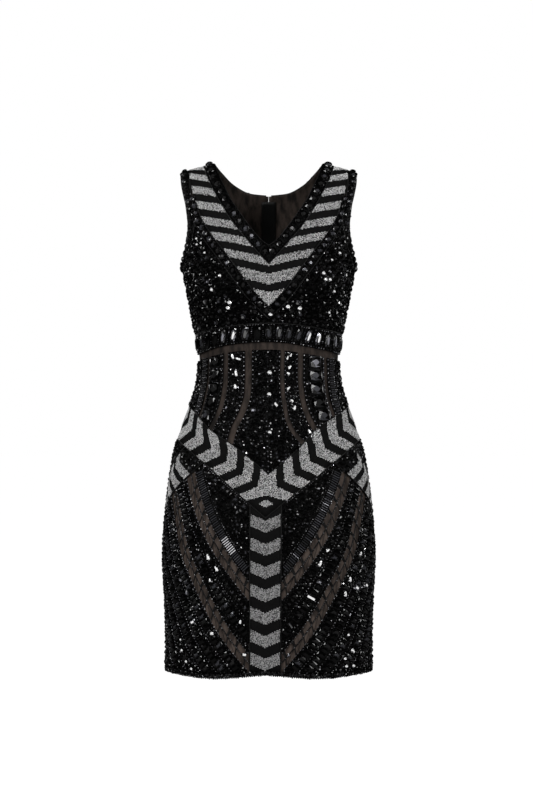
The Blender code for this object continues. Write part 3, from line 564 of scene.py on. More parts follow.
def cord_tree():
    """A round cord or thread along every path, with closed ends."""
    web, given, made = group(
        "cord_on_paths",
        "GeometryNodeTree",
        (
            ("Paths", "Geometry"),
            ("Radius", "Float", 0.001),
            ("Sides", "Int", 6),
            ("Finish", "Material"),
        ),
        (("Cord", "Geometry"),),
    )
    curve = web.add("GeometryNodeMeshToCurve", {0: given.outputs["Paths"]})
    inputs = {"Resolution": given.outputs["Sides"], "Radius": given.outputs["Radius"]}
    ring = web.add("GeometryNodeCurvePrimitiveCircle", inputs)
    inputs = {"Curve": curve.outputs[0], "Profile Curve": ring.outputs[0], "Fill Caps": True}
    tube = web.add("GeometryNodeCurveToMesh", inputs)
    smooth = web.add("GeometryNodeSetShadeSmooth", {0: tube.outputs[0]})
    inputs = {"Geometry": smooth.outputs[0], "Material": given.outputs["Finish"]}
    final = web.add("GeometryNodeSetMaterial", inputs)
    web.feed(made, {0: final.outputs[0]})
    return web.tree


def worked_out(name, mesh, tree, values):
    """The plain mesh that a node tree makes of a mesh, as a new object."""
    source = new_object(name + "_source", mesh)
    modifier = source.modifiers.new("work", "NODES")
    modifier.node_group = tree
    for item in tree.interface.items_tree:
        if item.item_type == "SOCKET" and item.in_out == "INPUT" and item.name in values:
            modifier[item.identifier] = values[item.name]
    source.update_tag()
    bpy.context.view_layer.update()
    graph = bpy.context.evaluated_depsgraph_get()
    final = bpy.data.meshes.new_from_object(source.evaluated_get(graph), depsgraph=graph)
    final.name = name
    bpy.data.objects.remove(source)
    return new_object(name, final)


# ---- finishes


def woven_group():
    """The fine net of a stretch mesh, from flat sizes in metres."""
    sockets = (("Flat", "Vector"), ("Thread Pitch", "Float", 0.001))
    web, given, made = group("fine_net", "ShaderNodeTree", sockets, (("Height", "Float"), ("Gap", "Float")))
    per_metre = web.maths("DIVIDE", 2 * math.pi, given.outputs["Thread Pitch"])
    parts = web.add("ShaderNodeSeparateXYZ", {0: given.outputs["Flat"]}).outputs
    waves = []
    for one, other in ((0, 1), (1, 0)):
        slanted = web.maths("MULTIPLY_ADD", parts[other], 0.35, parts[one])
        waves.append(web.maths("SINE", web.maths("MULTIPLY", slanted, per_metre)))
    height = web.maths("MAXIMUM", *waves)
    web.feed(made, {"Height": height, "Gap": web.maths("LESS_THAN", height, 0.1)})


def flecks_group():
    """Small seed beads sewn close together: their bump, and a tone for each one."""
    sockets = (("Place", "Vector"), ("Bead", "Float", 0.002))
    outputs = (("Height", "Float"), ("Tone", "Float"))
    web, given, made = group("seed_beads", "ShaderNodeTree", sockets, outputs)
    scale = web.maths("DIVIDE", 1.0, given.outputs["Bead"])
    inputs = {"Vector": given.outputs["Place"], "Scale": scale, "Randomness": 0.6}
    cells = web.add("ShaderNodeTexVoronoi", inputs).outputs
    height = web.maths("SUBTRACT", 1.0, web.maths("POWER", cells["Distance"], 2.0))
    tone = web.add("ShaderNodeSeparateColor", {0: cells["Color"]}).outputs[0]
    web.feed(made, {"Height": height, "Tone": tone})


class Finish(Web):
    """A material being put together round one shader."""

    def __init__(self, name):
        self.material = bpy.data.materials.new(name)
        self.material.use_nodes = True
        self.material.node_tree.nodes.clear()
        super().__init__(self.material.node_tree)
        self.shader = self.add("ShaderNodeBsdfPrincipled")
        self.add("ShaderNodeOutputMaterial", {"Surface": self.shader.outputs[0]})
        self.place = self.add("ShaderNodeTexCoord").outputs["Object"]

    def grouped(self, name, inputs):
        return self.add("ShaderNodeGroup", inputs, node_tree=bpy.data.node_groups[name]).outputs

    def stretched(self, scale):
        return self.add("ShaderNodeMapping", {0: self.place, "Scale": scale}).outputs[0]

    def noise(self, scale, detail=2.0, vector=None):
        inputs = {"Vector": self.place if vector is None else vector, "Scale": scale, "Detail": detail}
        return self.add("ShaderNodeTexNoise", inputs).outputs[0]

    def wave(self, value, pitch):
        return self.maths("SINE", self.maths("MULTIPLY", value, 2 * math.pi / pitch))

    def clipped(self, value):
        return self.maths("MINIMUM", self.maths("MAXIMUM", value, 0.0), 1.0)

    def done(self, inputs, height=None, distance=0.0, strength=0.0):
        """Feeds the shader, with a bump where a height is given, and hands over the material."""
        if height is not None:
            bump = self.add("ShaderNodeBump", {"Height": height, "Distance": distance, "Strength": strength})
            inputs["Normal"] = bump.outputs[0]
        self.feed(self.shader, inputs)
        return self.material


def grey(value):
    return (value, value, value, 1)


def mesh_finish():
    """Brown-black stretch mesh with soft creases painted in as darker shade, a little paler over the skirt."""
    web = Finish("sheer_mesh")
    flat = web.add("ShaderNodeUVMap", uv_map="flat").outputs[0]
    net = web.grouped("fine_net", {"Flat": flat, "Thread Pitch": MESH_PITCH})
    crease_noise = web.noise(120.0, 3.0, web.stretched((1.0, 0.6, 0.3)))
    # painted crease shade: the mesh turns to the darker colours where the fold noise runs high
    share = web.clipped(web.maths("MULTIPLY_ADD", crease_noise, 4.0, -1.55))
    level = web.add("ShaderNodeSeparateXYZ", {0: web.place}).outputs[2]
    skirt = web.add("ShaderNodeMapRange", {"Value": level, "From Min": -0.44, "From Max": -0.49}).outputs[0]
    pale, painted_crease_colour = (web.mixed(skirt, *pair) for pair in (MESH_PALE, MESH_PAINTED_CREASE))
    colour = web.mixed(web.maths("MULTIPLY", net["Gap"], 0.35), web.mixed(share, pale, painted_crease_colour), MESH_GAP)
    inputs = {"Base Color": colour, "Roughness": 0.7, "Specular IOR Level": 0.15}
    return web.done(inputs, net["Height"], 0.0002, 0.5)


def ground_finish():
    """Black mesh sown with tiny black beads, under and between the stones."""
    web = Finish("beaded_ground")
    seeds = web.grouped("seed_beads", {"Place": web.place, "Bead": GROUND_BEAD})
    shade = web.mixed(web.maths("POWER", seeds["Tone"], 3.0), grey(0.0008), grey(0.004))
    rough = web.maths("MULTIPLY_ADD", seeds["Tone"], 0.2, 0.15)
    inputs = {"Base Color": shade, "Roughness": rough, "Specular IOR Level": 0.03}
    return web.done(inputs, seeds["Height"], 0.0008, 0.9)


def band_finish():
    """Matte black cloth of the bands, with fine upright rows."""
    web = Finish("band_cloth")
    parts = web.add("ShaderNodeSeparateXYZ", {0: web.place}).outputs
    rows, cross = (web.wave(parts[k], BAND_ROW) for k in (0, 2))
    height = web.maths("ADD", rows, web.maths("MULTIPLY", cross, 0.6))
    shade = web.mixed(web.noise(220.0), grey(0.0045), grey(0.0090))
    return web.done({"Base Color": shade, "Roughness": 0.8, "Specular IOR Level": 0.03}, height, 0.00025, 0.6)


def binding_finish():
    """Satin binding and piping, with a fine slanting rib."""
    web = Finish("satin_binding")
    parts = web.add("ShaderNodeSeparateXYZ", {0: web.place}).outputs
    rib = web.wave(web.maths("ADD", parts[0], parts[2]), BINDING_RIB)
    shade = web.mixed(web.noise(90.0), grey(0.003), grey(0.007))
    return web.done({"Base Color": shade, "Roughness": 0.45, "Specular IOR Level": 0.2}, rib, 0.0001, 0.5)


def stone_finish():
    """Cut glass: most of it jet, some smoky grey, a few stones clear, white and glowing as painted glints, as
    each one's tone says.
    """
    web = Finish("cut_stones")
    tone, facet = (
        web.add("ShaderNodeAttribute", attribute_name=name).outputs["Fac"] for name in ("tone", "facet")
    )
    # facets with a low share lose tone: painted facet shade, the table keeping its full painted glint
    tone = web.maths("SUBTRACT", tone, web.maths("MULTIPLY_ADD", facet, -FACET_SHADE_LOSS, FACET_SHADE_LOSS))
    # white emission, which the clear tones turn on: painted glints
    inputs = {"Emission Color": grey(1.0), "Specular IOR Level": 0.2}
    for socket, stops in STONE_TONES.items():
        ramp = web.add("ShaderNodeValToRGB", {0: tone})
        ramp.color_ramp.interpolation = "CONSTANT"
        for k, (at, value) in enumerate(stops):
            stop = ramp.color_ramp.elements[k] if k < 2 else ramp.color_ramp.elements.new(at)
            stop.position = at
            stop.color = value if len(np.shape(value)) else grey(value)
        inputs[socket] = ramp.outputs[0]
    inputs["Roughness"] = web.maths("MULTIPLY_ADD", web.noise(340.0, 1.0), 0.07, inputs["Roughness"])
    return web.done(inputs)


def silver_finish():
    """Silver-lined seed beads, each with its own tone, worn in upright streaks."""
    web = Finish("silver_beads")
    tone = web.add("ShaderNodeAttribute", attribute_name="tone").outputs["Fac"]
    streaks = web.noise(420.0, 2.0, web.stretched((1.0, 1.0, 0.35)))
    worn = web.clipped(web.maths("MULTIPLY_ADD", streaks, 3.0, -1.25))
    shade = web.mixed(tone, grey(0.12), grey(1.0))
    inputs = {
        "Base Color": web.mixed(web.maths("MULTIPLY", worn, 0.52), shade, grey(0.10)),
        "Roughness": web.maths("MULTIPLY_ADD", tone, -0.15, 0.5),
        "Metallic": web.maths("MULTIPLY_ADD", tone, 0.2, 0.05),
    }
    return web.done(inputs)


def metal_finish():
    """Dark zip metal, lightly worn."""
    web = Finish("zip_metal")
    noise = web.noise(900.0, 3.0)
    rough = web.maths("MULTIPLY_ADD", noise, 0.25, 0.2)
    inputs = {"Base Color": web.mixed(noise, grey(0.05), grey(0.14)), "Roughness": rough, "Metallic": 0.5}
    return web.done(inputs, noise, 0.00005, 0.4)


def paper_finish():
    """The pale seamless floor."""
    web = Finish("pale_floor")
    seen_directly = web.add("ShaderNodeLightPath").outputs["Is Camera Ray"]
    inputs = {
        "Base Color": web.mixed(web.noise(3.0), grey(0.28), grey(0.32)),
        "Roughness": 0.9,
        "Specular IOR Level": 0.0,
        "Emission Color": grey(1.0),
        "Emission Strength": web.maths("MULTIPLY", seen_directly, FLOOR_GLOW),
    }
    return web.done(inputs)


MESH_PITCH = 0.0012
# each on the midriff and on the skirt; the crease colours are painted shade, mixed in where the fold noise
# runs high
MESH_PALE = ((0.050, 0.038, 0.032, 1), (0.100, 0.077, 0.065, 1))
MESH_PAINTED_CREASE = ((0.010, 0.008, 0.007, 1), (0.034, 0.026, 0.022, 1))
MESH_GAP = (0.012, 0.009, 0.008, 1)
GROUND_BEAD, BAND_ROW, BINDING_RIB = 0.0021, 0.0019, 0.0011
FLOOR_GLOW = 1.0
# glow of the clear tones: painted glints, stones that shine though they are no lamps
GLINT_GLOW = 0.50
# how much tone a facet with the least share loses: painted facet shade
FACET_SHADE_LOSS = 0.6
JET_TONE, SMOKE_TONE, PEWTER_TONE, PALE_TONE, CLEAR_GLINT_TONE, BRILLIANT_GLINT_TONE = 0.3, 0.8, 0.88, 0.93, 0.97, 1.2
STONE_TONES = {
    # socket: the value from each tone on
    "Base Color": (
        (0.0, 0.0008), (0.45, 0.002), (0.6, 0.014), (0.75, (0.052, 0.053, 0.060, 1)), (0.86, 0.22),
        (0.91, (0.50, 0.50, 0.56, 1)), (0.95, 0.90),
    ),
    "Metallic": ((0.0, 0.0), (0.75, 0.3), (0.86, 0.5)),
    "Roughness": ((0.0, 0.03), (0.45, 0.06), (0.6, 0.14), (0.75, 0.18), (0.95, 0.12)),
    # clear tones glow: painted glints
    "Emission Strength": ((0.0, 0.0), (0.95, GLINT_GLOW)),
}

woven_group()
flecks_group()
FINISH = {
    "base_mesh": mesh_finish(),
    "black_beadwork": ground_finish(),
    "silver_beadwork": band_finish(),
    "black_binding": binding_finish(),
    "stones": stone_finish(),
    "silver": silver_finish(),
    "metal": metal_finish(),
}
STONES_TREE, CORD_TREE = set_stones_tree(), cord_tree()

# ---- cloth

FINER = 3
LEAST_FLAT = 0.0101
SIDES = ((1, "left"), (-1, "right"))
WALLS = ["front", "back_left", "back_right"]
LAID = {}
EDGES = {}
GOES_WITH = {}
SETTLED = []


def ride(made, body=DRESS):
    SETTLED.append(made)
    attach(made, body)
    return made


def cloth(node, grid, finish_name, lift=LIFT, thick=BEADWORK, side=1, mirrored=False, relief=None):
    """A wall of cloth in place of a CAD node, over a grid of (turn, level) points. Its UVs are its flat sizes.

    relief tells how far the wall rises at a share of the way along the grid and across it.
    """
    rows, columns = grid.shape[:2]
    places = on_block(grid.reshape(-1, 2), lift)
    flat = flat_sizes(places.reshape(rows, columns, 3))
    places[:, 0] *= side
    shape = bmesh.new()
    corners = [shape.verts.new(place) for place in places]
    layer = shape.loops.layers.uv.new("flat")
    for i in range(rows - 1):
        for j in range(columns - 1):
            first = i * columns + j
            numbers = [first, first + columns, first + columns + 1, first + 1]
            face = shape.faces.new([corners[k] for k in numbers])
            for loop, k in zip(face.loops, numbers):
                loop[layer].uv = flat[k]
    shape.normal_update()
    outwards = sum(f.normal.dot((f.calc_center_median().x, f.calc_center_median().y, 0)) for f in shape.faces)
    if outwards < 0:
        bmesh.ops.reverse_faces(shape, faces=shape.faces)
    mesh = bpy.data.meshes.new(node)
    shape.to_mesh(mesh)
    shape.free()
    made = new_object(node + "_cloth", mesh)
    mesh.materials.append(FINISH[finish_name])
    mesh.shade_smooth()
    if mirrored:
        mirror = made.modifiers.new("Mirror", "MIRROR")
        mirror.merge_threshold = 0.00005
    wall = made.modifiers.new("Wall", "SOLIDIFY")
    wall.offset = 1
    wall.thickness = thick
    if relief is not None:
        down, over = np.indices((rows, columns)).reshape(2, -1)
        heights = thick + relief(down / (rows - 1), over / (columns - 1))
        wall.thickness = heights.max()
        shares = made.vertex_groups.new(name="relief")
        for index, height in enumerate(heights / heights.max()):
            shares.add([index], float(height), "REPLACE")
        wall.vertex_group = shares.name
    graph = bpy.context.evaluated_depsgraph_get()
    final = bpy.data.meshes.new_from_object(made.evaluated_get(graph), depsgraph=graph)
    made.modifiers.clear()
    made.vertex_groups.clear()
    made.data = final
    ride(made)
    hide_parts(node)
    LAID[node] = {"grid": grid, "lift": lift + thick, "side": side, "mirrored": mirrored, "cloth": made}
    GOES_WITH[node] = []
    return made


def flat_sizes(places):
    """Flat coordinates in metres for each point of a grid of places."""
    down = np.linalg.norm(np.diff(places, axis=0), axis=2).mean(1)
    over = np.linalg.norm(np.diff(places, axis=1), axis=2)
    v = np.concatenate([[0], np.cumsum(down)])[:, None] + np.zeros(places.shape[1])
    u = np.concatenate([np.zeros((len(places), 1)), np.cumsum(over, axis=1)], axis=1)
    return np.stack([u, v], axis=-1).reshape(-1, 2)


def cut_of(node):
    """The flat width, length and area that a piece was cut to."""
    laid = LAID[node]
    places = surface(laid["grid"])
    down, over = (np.linalg.norm(np.diff(places, axis=k), axis=2) for k in (0, 1))
    a, b = places[1:, 1:] - places[:-1, :-1], places[1:, :-1] - places[:-1, 1:]
    area = np.linalg.norm(np.cross(a, b), axis=2).sum() / 2
    width, length = over.sum(1).max(), down.sum(0).max()
    points = laid["grid"].reshape(-1, 2)
    box = np.ptp(points, axis=0) * [np.linalg.norm(way, axis=1).mean() for way in slopes(points)]
    if box[0] * box[1] < width * length:
        width, length = box
    if laid["mirrored"]:
        area *= 2
        width, length = max(width, length), 2 * min(width, length)
    return max(float(width), LEAST_FLAT), max(float(length), LEAST_FLAT), float(area)


def both_sides(name, grid, finish_name="black_beadwork", mirrored=False, **more):
    """One piece across the centre line, or a left and a right one."""
    if mirrored:
        cloth(name, grid, finish_name, mirrored=True, **more)
        return
    for side, half in SIDES:
        cloth(f"{name}_{half}", grid, finish_name, side=side, **more)


def panel(name, line_a, line_b, top, foot, rows, across, finish_name="black_beadwork", crowd=1.0, **more):
    """A four-sided piece between two side lines, cut off by a line above and a line below."""
    a, b = (kept(kept(line, below(top)), above(foot)) for line in (line_a, line_b))
    EDGES[name] = {"near": a, "far": b}
    a, b = resampled(a, rows * FINER), resampled(b, rows * FINER)
    start, end = (between(line, a[k], b[k], across * FINER, crowd) for line, k in ((top, 0), (foot, -1)))
    both_sides(name, patch(a, b, across * FINER, start, end, crowd), finish_name, **more)


def neck_line():
    back = kept(drawn(NECK_BACK, True), clear_of(PLACKET / 2))
    return over_shoulder(drawn(NECK_FRONT), back)


def trim_line(neck):
    """The outer edge of the neck trim, up the front and down the back."""
    return np.concatenate([rising(drawn(BIB_INNER)), falling(moved(neck, -NECK_TRIM))[1:]])


def arm_line():
    """The armhole from the underarm up the front and down the back."""
    front, back = drawn(ARM_FRONT), drawn(ARM_BACK, True)
    front[:, 0] = np.minimum(front[:, 0], SIDE_TURN)
    back[:, 0] = np.maximum(back[:, 0], math.pi - SIDE_TURN)
    return over_shoulder(front, back)


def base_walls():
    """The mesh that everything is sewn to: one front and two backs."""
    arm = arm_line()
    armpit = arm[0, 1]
    under_seam = lambda e: TOP - SEAM / 2 - e[:, 1]
    for behind in (False, True):
        if behind:
            neck_edge = kept(drawn(NECK_BACK, True), clear_of(BACK_OPENING / 2))
            arm_edge, centre_x, split = behind_shoulder(arm), BACK_OPENING / 2, 6
        else:
            neck_edge = drawn(NECK_FRONT)
            arm_edge, centre_x, split = rising(arm), 0.0, 3
        neck_edge, arm_edge = kept(neck_edge, under_seam), kept(arm_edge, under_seam)
        low = upright(centre_x, HEM, armpit, behind, 120)
        high = upright(centre_x, armpit, surface(neck_edge[:1])[0, 2], behind)
        parts = ((low, 26), (high, split), (neck_edge, 11 - split))
        inner = joined(*(resampled(line, rows * FINER) for line, rows in parts))
        side_line = side_seam(armpit, HEM, behind, 120)[::-1]
        outer = joined(resampled(side_line, 26 * FINER), resampled(arm_edge, 11 * FINER))
        grid = patch(outer, inner, 8 * FINER, crowd=1.2)
        both_sides("back" if behind else "front", grid, "base_mesh", not behind, lift=0.0, thick=CLOTH)


def neckline_and_armholes():
    """The trims round the neck and the armholes, the striped bib with its border, and the bust panels."""
    neck, arm = neck_line(), arm_line()
    domed = lambda t, s: TRIM_DOME * 4 * s * (1 - s)
    trim_edge, arm_edge = trim_line(neck), to_side(moved(arm, ARM_TRIM))
    both_sides("neck_trim", quilt(neck, trim_edge, 28, 2), mirrored=True, relief=domed)
    both_sides("armhole_trim", quilt(arm, arm_edge, 34, 2), relief=domed)

    yoke = lambda e: TOP + YOKE - e[:, 1]
    bib_inner = kept(to_centre(moved(trim_edge, -BUTT)), yoke)
    arm_clear = to_side(moved(arm, ARM_TRIM + BUTT))
    bib_front = rising(drawn(BIB_OUTER))
    arm_x = np.interp(bib_front[:, 1], *arm_clear[arm_clear[:, 1] < TOP + 0.01].T[::-1])
    bib_front[:, 0] = np.minimum(bib_front[:, 0], arm_x)
    bib_outer = np.concatenate([bib_front, kept(falling(arm_clear), yoke)[1:]])
    grid = quilt(bib_inner, bib_outer, 25, 3)
    both_sides("chevron_bib", grid, "silver_beadwork", mirrored=True, lift=LIFT + SEAM)

    front_arm = rising(arm_clear)

    def reach(edge):
        """How far within the armhole trim an edge lies."""
        places, limit = surface(edge), surface(front_arm)
        return np.interp(places[:, 2], limit[:, 2], limit[:, 0]) - places[:, 0]

    border_outer = kept(to_centre(moved(bib_front, -BIB_BORDER)), reach)
    meets = border_outer[-1, 1]
    border_inner = kept(to_centre(moved(bib_front, -BUTT)), lambda e: reach(e) - 0.003)
    top_level = border_inner[-1, 1]
    beside_arm = kept(kept(front_arm, lambda e: e[:, 1] - meets), lambda e: top_level - e[:, 1])
    border_outer = joined(border_outer, beside_arm[beside_arm[:, 1] > meets])
    both_sides("bib_border", quilt(border_inner, border_outer, 20, 2), mirrored=True)

    bust_inner = to_centre(moved(bib_front, -BIB_BORDER - BUTT))
    empire_top = girdle(empire(EMPIRE_TOP, EMPIRE_TOP_DROP), 0.0, SIDE_TURN)
    bust_inner = kept(kept(kept(bust_inner, reach), above(empire_top, 0.003)), clear_of(BUTT / 2))
    bust_foot = moved(empire_top, BUTT)
    bust_foot = bust_foot[bust_foot[:, 0] > bust_inner[0, 0]]
    bust_foot = np.concatenate([[[bust_inner[0, 0], bust_foot[0, 1]]], bust_foot])
    beside_arm = kept(front_arm, lambda e: bust_inner[-1, 1] - e[:, 1])[::-1]
    for line in (bust_foot, beside_arm):
        line[:, 0] = np.minimum(line[:, 0], arm[0, 0])
    side = side_seam(beside_arm[-1, 1], bust_foot[-1, 1])
    end = joined(resampled(beside_arm, 6 * FINER), resampled(side, 4 * FINER))
    start = resampled(np.array([bust_inner[0], bust_foot[0]]), 10 * FINER)
    both_sides("bust_panel", quilt(bust_inner, bust_foot, 11, 10, start, end))
    EDGES["neck"], EDGES["trim"], EDGES["arm"], EDGES["arm_outer"] = neck, trim_edge, arm, arm_edge
    EDGES["bib_inner"], EDGES["bib_outer"] = bib_inner, bib_outer
    EDGES["border_outer"], EDGES["bust_foot"] = border_outer, bust_foot


def empire(height, drop):
    return lambda x: height - drop * (x / EMPIRE_SIDE) ** 2


def hip(height):
    return lambda x: height + HIP_RISE * x


def bands():
    """Bands that run round the body."""
    side, back = math.pi / 2 - SEAM / 2 / 0.12, math.pi - PLACKET / 2 / 0.085
    for name, start, end in (("front", -side, side), ("back", math.pi - side, back)):
        top = girdle(empire(EMPIRE_TOP, EMPIRE_TOP_DROP), start, end)
        foot = girdle(empire(EMPIRE_FOOT, EMPIRE_FOOT_DROP), start, end)
        stones = EMPIRE_STONES if name == "front" else EMPIRE_STONES // 2
        EDGES["empire_" + name] = {"top": top, "foot": foot}
        grid = patch(resampled(top, stones * 2), resampled(foot, stones * 2), 3 * FINER)
        put = cloth if name == "front" else both_sides
        put("empire_band_" + name, grid, "black_beadwork")
        hem_top = girdle(lambda x: HEM + BINDING, start, end)
        hem_foot = girdle(lambda x: HEM, start, end)
        EDGES["hem_" + name] = {"top": hem_top, "foot": hem_foot}
        pieces = 26 if name == "front" else 13
        grid = patch(resampled(hem_top, pieces * FINER), resampled(hem_foot, pieces * FINER), 2)
        put("hem_binding_" + name, grid, "black_binding")
    for name, start, end in (("front", 0.0, SIDE_TURN), ("back", math.pi - SIDE_TURN, back)):
        top, foot = (girdle(hip(z), start, end) for z in (HIP_TOP, HIP_FOOT))
        EDGES["hip_" + name] = {"top": top, "foot": foot}
        both_sides("hip_band_" + name, quilt(top, foot, 15, 2), "silver_beadwork", name == "front")


def midriff():
    """Panels under the empire band, with bare mesh between them."""
    side = math.pi / 2
    top = girdle(empire(WAIST_SHEER, WAIST_SHEER_DROP), 0.0, side)
    foot = girdle(hip(HIP_TOP), 0.0, side)
    centre = upright(0.0, -0.25, -0.55)
    seam = side_seam(-0.28, -0.47)
    inner, outer, flank = drawn(SHEER_INNER), drawn(SHEER_OUTER), drawn(SHEER_SIDE)
    panel("midriff_centre", centre, moved(inner, -SHEER_HALF), top, foot, 9, 2, mirrored=True)
    panel("midriff_inner", moved(inner, SHEER_HALF), moved(outer, -SHEER_HALF), top, foot, 8, 2)
    panel("midriff_outer", moved(outer, SHEER_HALF), moved(flank, -SIDE_SHEER_HALF), top, foot, 10, 3)
    panel("midriff_side", moved(flank, SIDE_SHEER_HALF), seam, top, foot, 7, 4)


def skirt():
    """The side bands, the centre column and the panels with bare mesh between them."""
    side = math.pi / 2
    hip_foot = girdle(hip(HIP_FOOT), 0.0, side)
    hem = girdle(lambda x: HEM + BINDING, 0.0, side)
    band_top, band_foot = slant(SIDE_BAND_TOP), slant(SIDE_BAND_FOOT)
    seam = side_seam(-0.44, HEM)

    upper = kept(moved(band_top, -BUTT / 2), below(hip_foot))
    lower = kept(moved(band_foot, BUTT / 2), below(hip_foot))
    edge = kept(moved(band_top, BUTT / 2), below(hip_foot, 0.005))
    above_edge = hip_foot[hip_foot[:, 0] > edge[0, 0]] - np.array([0, 2 * BUTT])
    above_edge = np.concatenate([[[edge[0, 0], above_edge[0, 1]]], above_edge])
    for line in (upper, lower, edge, above_edge):
        line[:, 0] = np.minimum(line[:, 0], seam[20, 0])
    EDGES["side_band"] = {"top": upper, "foot": lower}
    start = between(hip_foot, upper[0], lower[0], 3 * FINER)
    both_sides("side_band", quilt(upper, lower, 6, 3, start), "silver_beadwork")
    both_sides("hip_gusset", quilt(above_edge, edge, 4, 2))

    centre, column = (upright(x, -0.50, HEM) for x in (0.0, COLUMN))
    panel("centre_column", centre, column, hip_foot, hem, 12, 2, "silver_beadwork", mirrored=True)

    beside = clear_of(COLUMN + BUTT)
    under_band = moved(band_foot, -BUTT / 2)
    ladder, strip = drawn(LADDER_SHEER), drawn(SKIRT_SHEER)
    half = SKIRT_SHEER_HALF + TURNED_BACK

    def stretch(line):
        return kept(kept(line, beside), below(under_band, 0.0))

    above_ladder, below_ladder = (stretch(moved(ladder, d)[::-1]) for d in (-half, half))
    above_strip, below_strip = (stretch(moved(strip, d)[::-1]) for d in (-half, half))
    for name, a, b, rows, over in (
        ("skirt_upper", stretch(hip_foot - np.array([0, BUTT / 2])), above_ladder, 8, 7),
        ("skirt_middle", below_ladder, above_strip, 13, 4),
    ):
        EDGES[name] = {"near": a, "far": b}
        start = resampled(np.array([a[0], b[0]]), over * FINER)
        end = between(under_band, a[-1], b[-1], over * FINER)
        both_sides(name, quilt(a, b, rows, over, start, end))

    a = kept(below_strip, above(hem, 0.004))
    EDGES["skirt_lower"] = {"near": a}
    a = joined(a, under_band[under_band[:, 0] > a[-1, 0] + 0.01])
    a[:, 0] = np.minimum(a[:, 0], seam[20, 0])
    b = np.stack([np.linspace(a[0, 0], seam[-1, 0], 60), np.full(60, HEM + BINDING + BUTT / 2)], axis=-1)
    start = resampled(np.array([a[0], b[0]]), 6 * FINER)
    end = resampled(side_seam(a[-1, 1], b[-1, 1]), 6 * FINER)
    both_sides("skirt_lower", quilt(a, b, 16, 6, start, end))
    EDGES["ladder_middle"], EDGES["strip_middle"] = (stretch(line[::-1]) for line in (ladder, strip))
    EDGES["column"] = kept(kept(column, below(hip_foot)), above(hem))


def back_panels():
    """The plain beaded back, in the same bands as the front."""
    side = math.pi / 2
    seam = side_seam(-0.1, HEM, True, 120)
    centre = upright(PLACKET / 2, -0.1, HEM, True, 120)
    waist = girdle(empire(WAIST_SHEER, WAIST_SHEER_DROP), side, math.pi)
    hips = [girdle(hip(z), side, math.pi) for z in (HIP_TOP, HIP_FOOT)]
    hem = girdle(lambda x: HEM + BINDING, side, math.pi)
    panel("back_midriff", seam, centre, waist, hips[0], 8, 10, crowd=1.15)
    panel("back_skirt", seam, centre, hips[1], hem, 14, 10, crowd=1.3, lift=LIFT + 3 * SEAM)

    neck, arm = neck_line(), arm_line()
    empire_top = girdle(empire(EMPIRE_TOP, EMPIRE_TOP_DROP), side, math.pi)
    yoke = lambda e: TOP - YOKE - BUTT - e[:, 1]
    neck_edge = kept(behind_shoulder(moved(trim_line(neck), -BUTT)), yoke)
    arm_edge = kept(behind_shoulder(to_side(moved(arm, ARM_TRIM + 1.5 * BUTT))), yoke)
    arm_edge[:, 0] = np.maximum(arm_edge[:, 0], seam[0, 0])
    low = kept(upright(PLACKET / 2, surface(neck_edge[:1])[0, 2], -0.32, True), above(empire_top))[::-1]
    seam = kept(side_seam(arm_edge[0, 1], -0.32, True), above(empire_top))[::-1]
    a = joined(resampled(low, 9 * FINER), resampled(neck_edge, 8 * FINER))
    b = joined(resampled(seam, 4 * FINER), resampled(arm_edge, 13 * FINER))
    end = between(empire_top, b[0], a[0], 7 * FINER, 1.25)
    both_sides("back_bodice", patch(b, a, 7 * FINER, end, crowd=1.25), lift=LIFT + 2 * SEAM)


def zip_tape():
    """The tape behind the back opening."""
    levels = np.linspace(ZIP_TOP, ZIP_FOOT, 100)
    half = ZIP_TAPE_HALF / 0.1
    turns = math.pi - half + np.linspace(0, 2 * half, 7)
    grid = np.stack(np.meshgrid(turns, seen(np.zeros(100), levels, True)[:, 1]), axis=-1)
    cloth("zip_tape", grid, "black_binding", lift=-TAPE_GAP - ZIP_TAPE, thick=ZIP_TAPE)


base_walls()
neckline_and_armholes()
bands()
midriff()
skirt()
back_panels()
zip_tape()

# ---- stones and beads

ROUND, SEED, OVAL, DROP, CUSHION, BAR, LARGE, TOOTH = range(8)
FACETED = 8
# the least facet share of seeds and bars, so their painted facet shade stays slight
DULLEST = {SEED: 0.84, BAR: 0.8}


def ring(outline, share, height, offset=0.0):
    """A ring of points on a stone: a share of the outline, turned by part of a step."""
    outline = np.array(outline)
    turned = (1 - offset) * outline + offset * np.roll(outline, -1, axis=0)
    return [(x * share, y * share, height) for x, y in turned]


def stone_kind(number, name, rings, apex=None, base_apex=None):
    """A closed cut stone from rings of points, lowest first, with a point or a flat table at each end."""
    shape = bmesh.new()
    laid = [[shape.verts.new(p) for p in points] for points in rings]
    count = len(laid[0])
    for low, high in zip(laid[:-1], laid[1:]):
        for k in range(count):
            shape.faces.new((low[k], low[(k + 1) % count], high[k]))
            shape.faces.new((low[(k + 1) % count], high[(k + 1) % count], high[k]))
    for row, tip, flip in ((laid[0], base_apex, True), (laid[-1], apex, False)):
        if tip is None:
            shape.faces.new(row[::-1] if flip else row)
            continue
        end = shape.verts.new((0, 0, tip))
        for k in range(count):
            pair = (row[k], row[(k + 1) % count])
            shape.faces.new((*(pair[::-1] if flip else pair), end))
    bmesh.ops.recalc_face_normals(shape, faces=shape.faces)
    mesh = bpy.data.meshes.new(f"kind_{number}_{name}")
    shape.to_mesh(mesh)
    shape.free()
    # each facet keeps a fixed share of the stone's tone, the table all of it: painted facet shade and glints,
    # the same on every stone of a kind
    shares = np.random.default_rng(number).uniform(DULLEST.get(number, 0.2), 1.0, len(mesh.polygons))
    if apex is None:
        shares[-1] = 1.0
    mesh.attributes.new("facet", "FLOAT", "FACE").data.foreach_set("value", shares)
    made = bpy.data.objects.new(mesh.name, mesh)
    bpy.data.collections["stone_kinds"].objects.link(made)


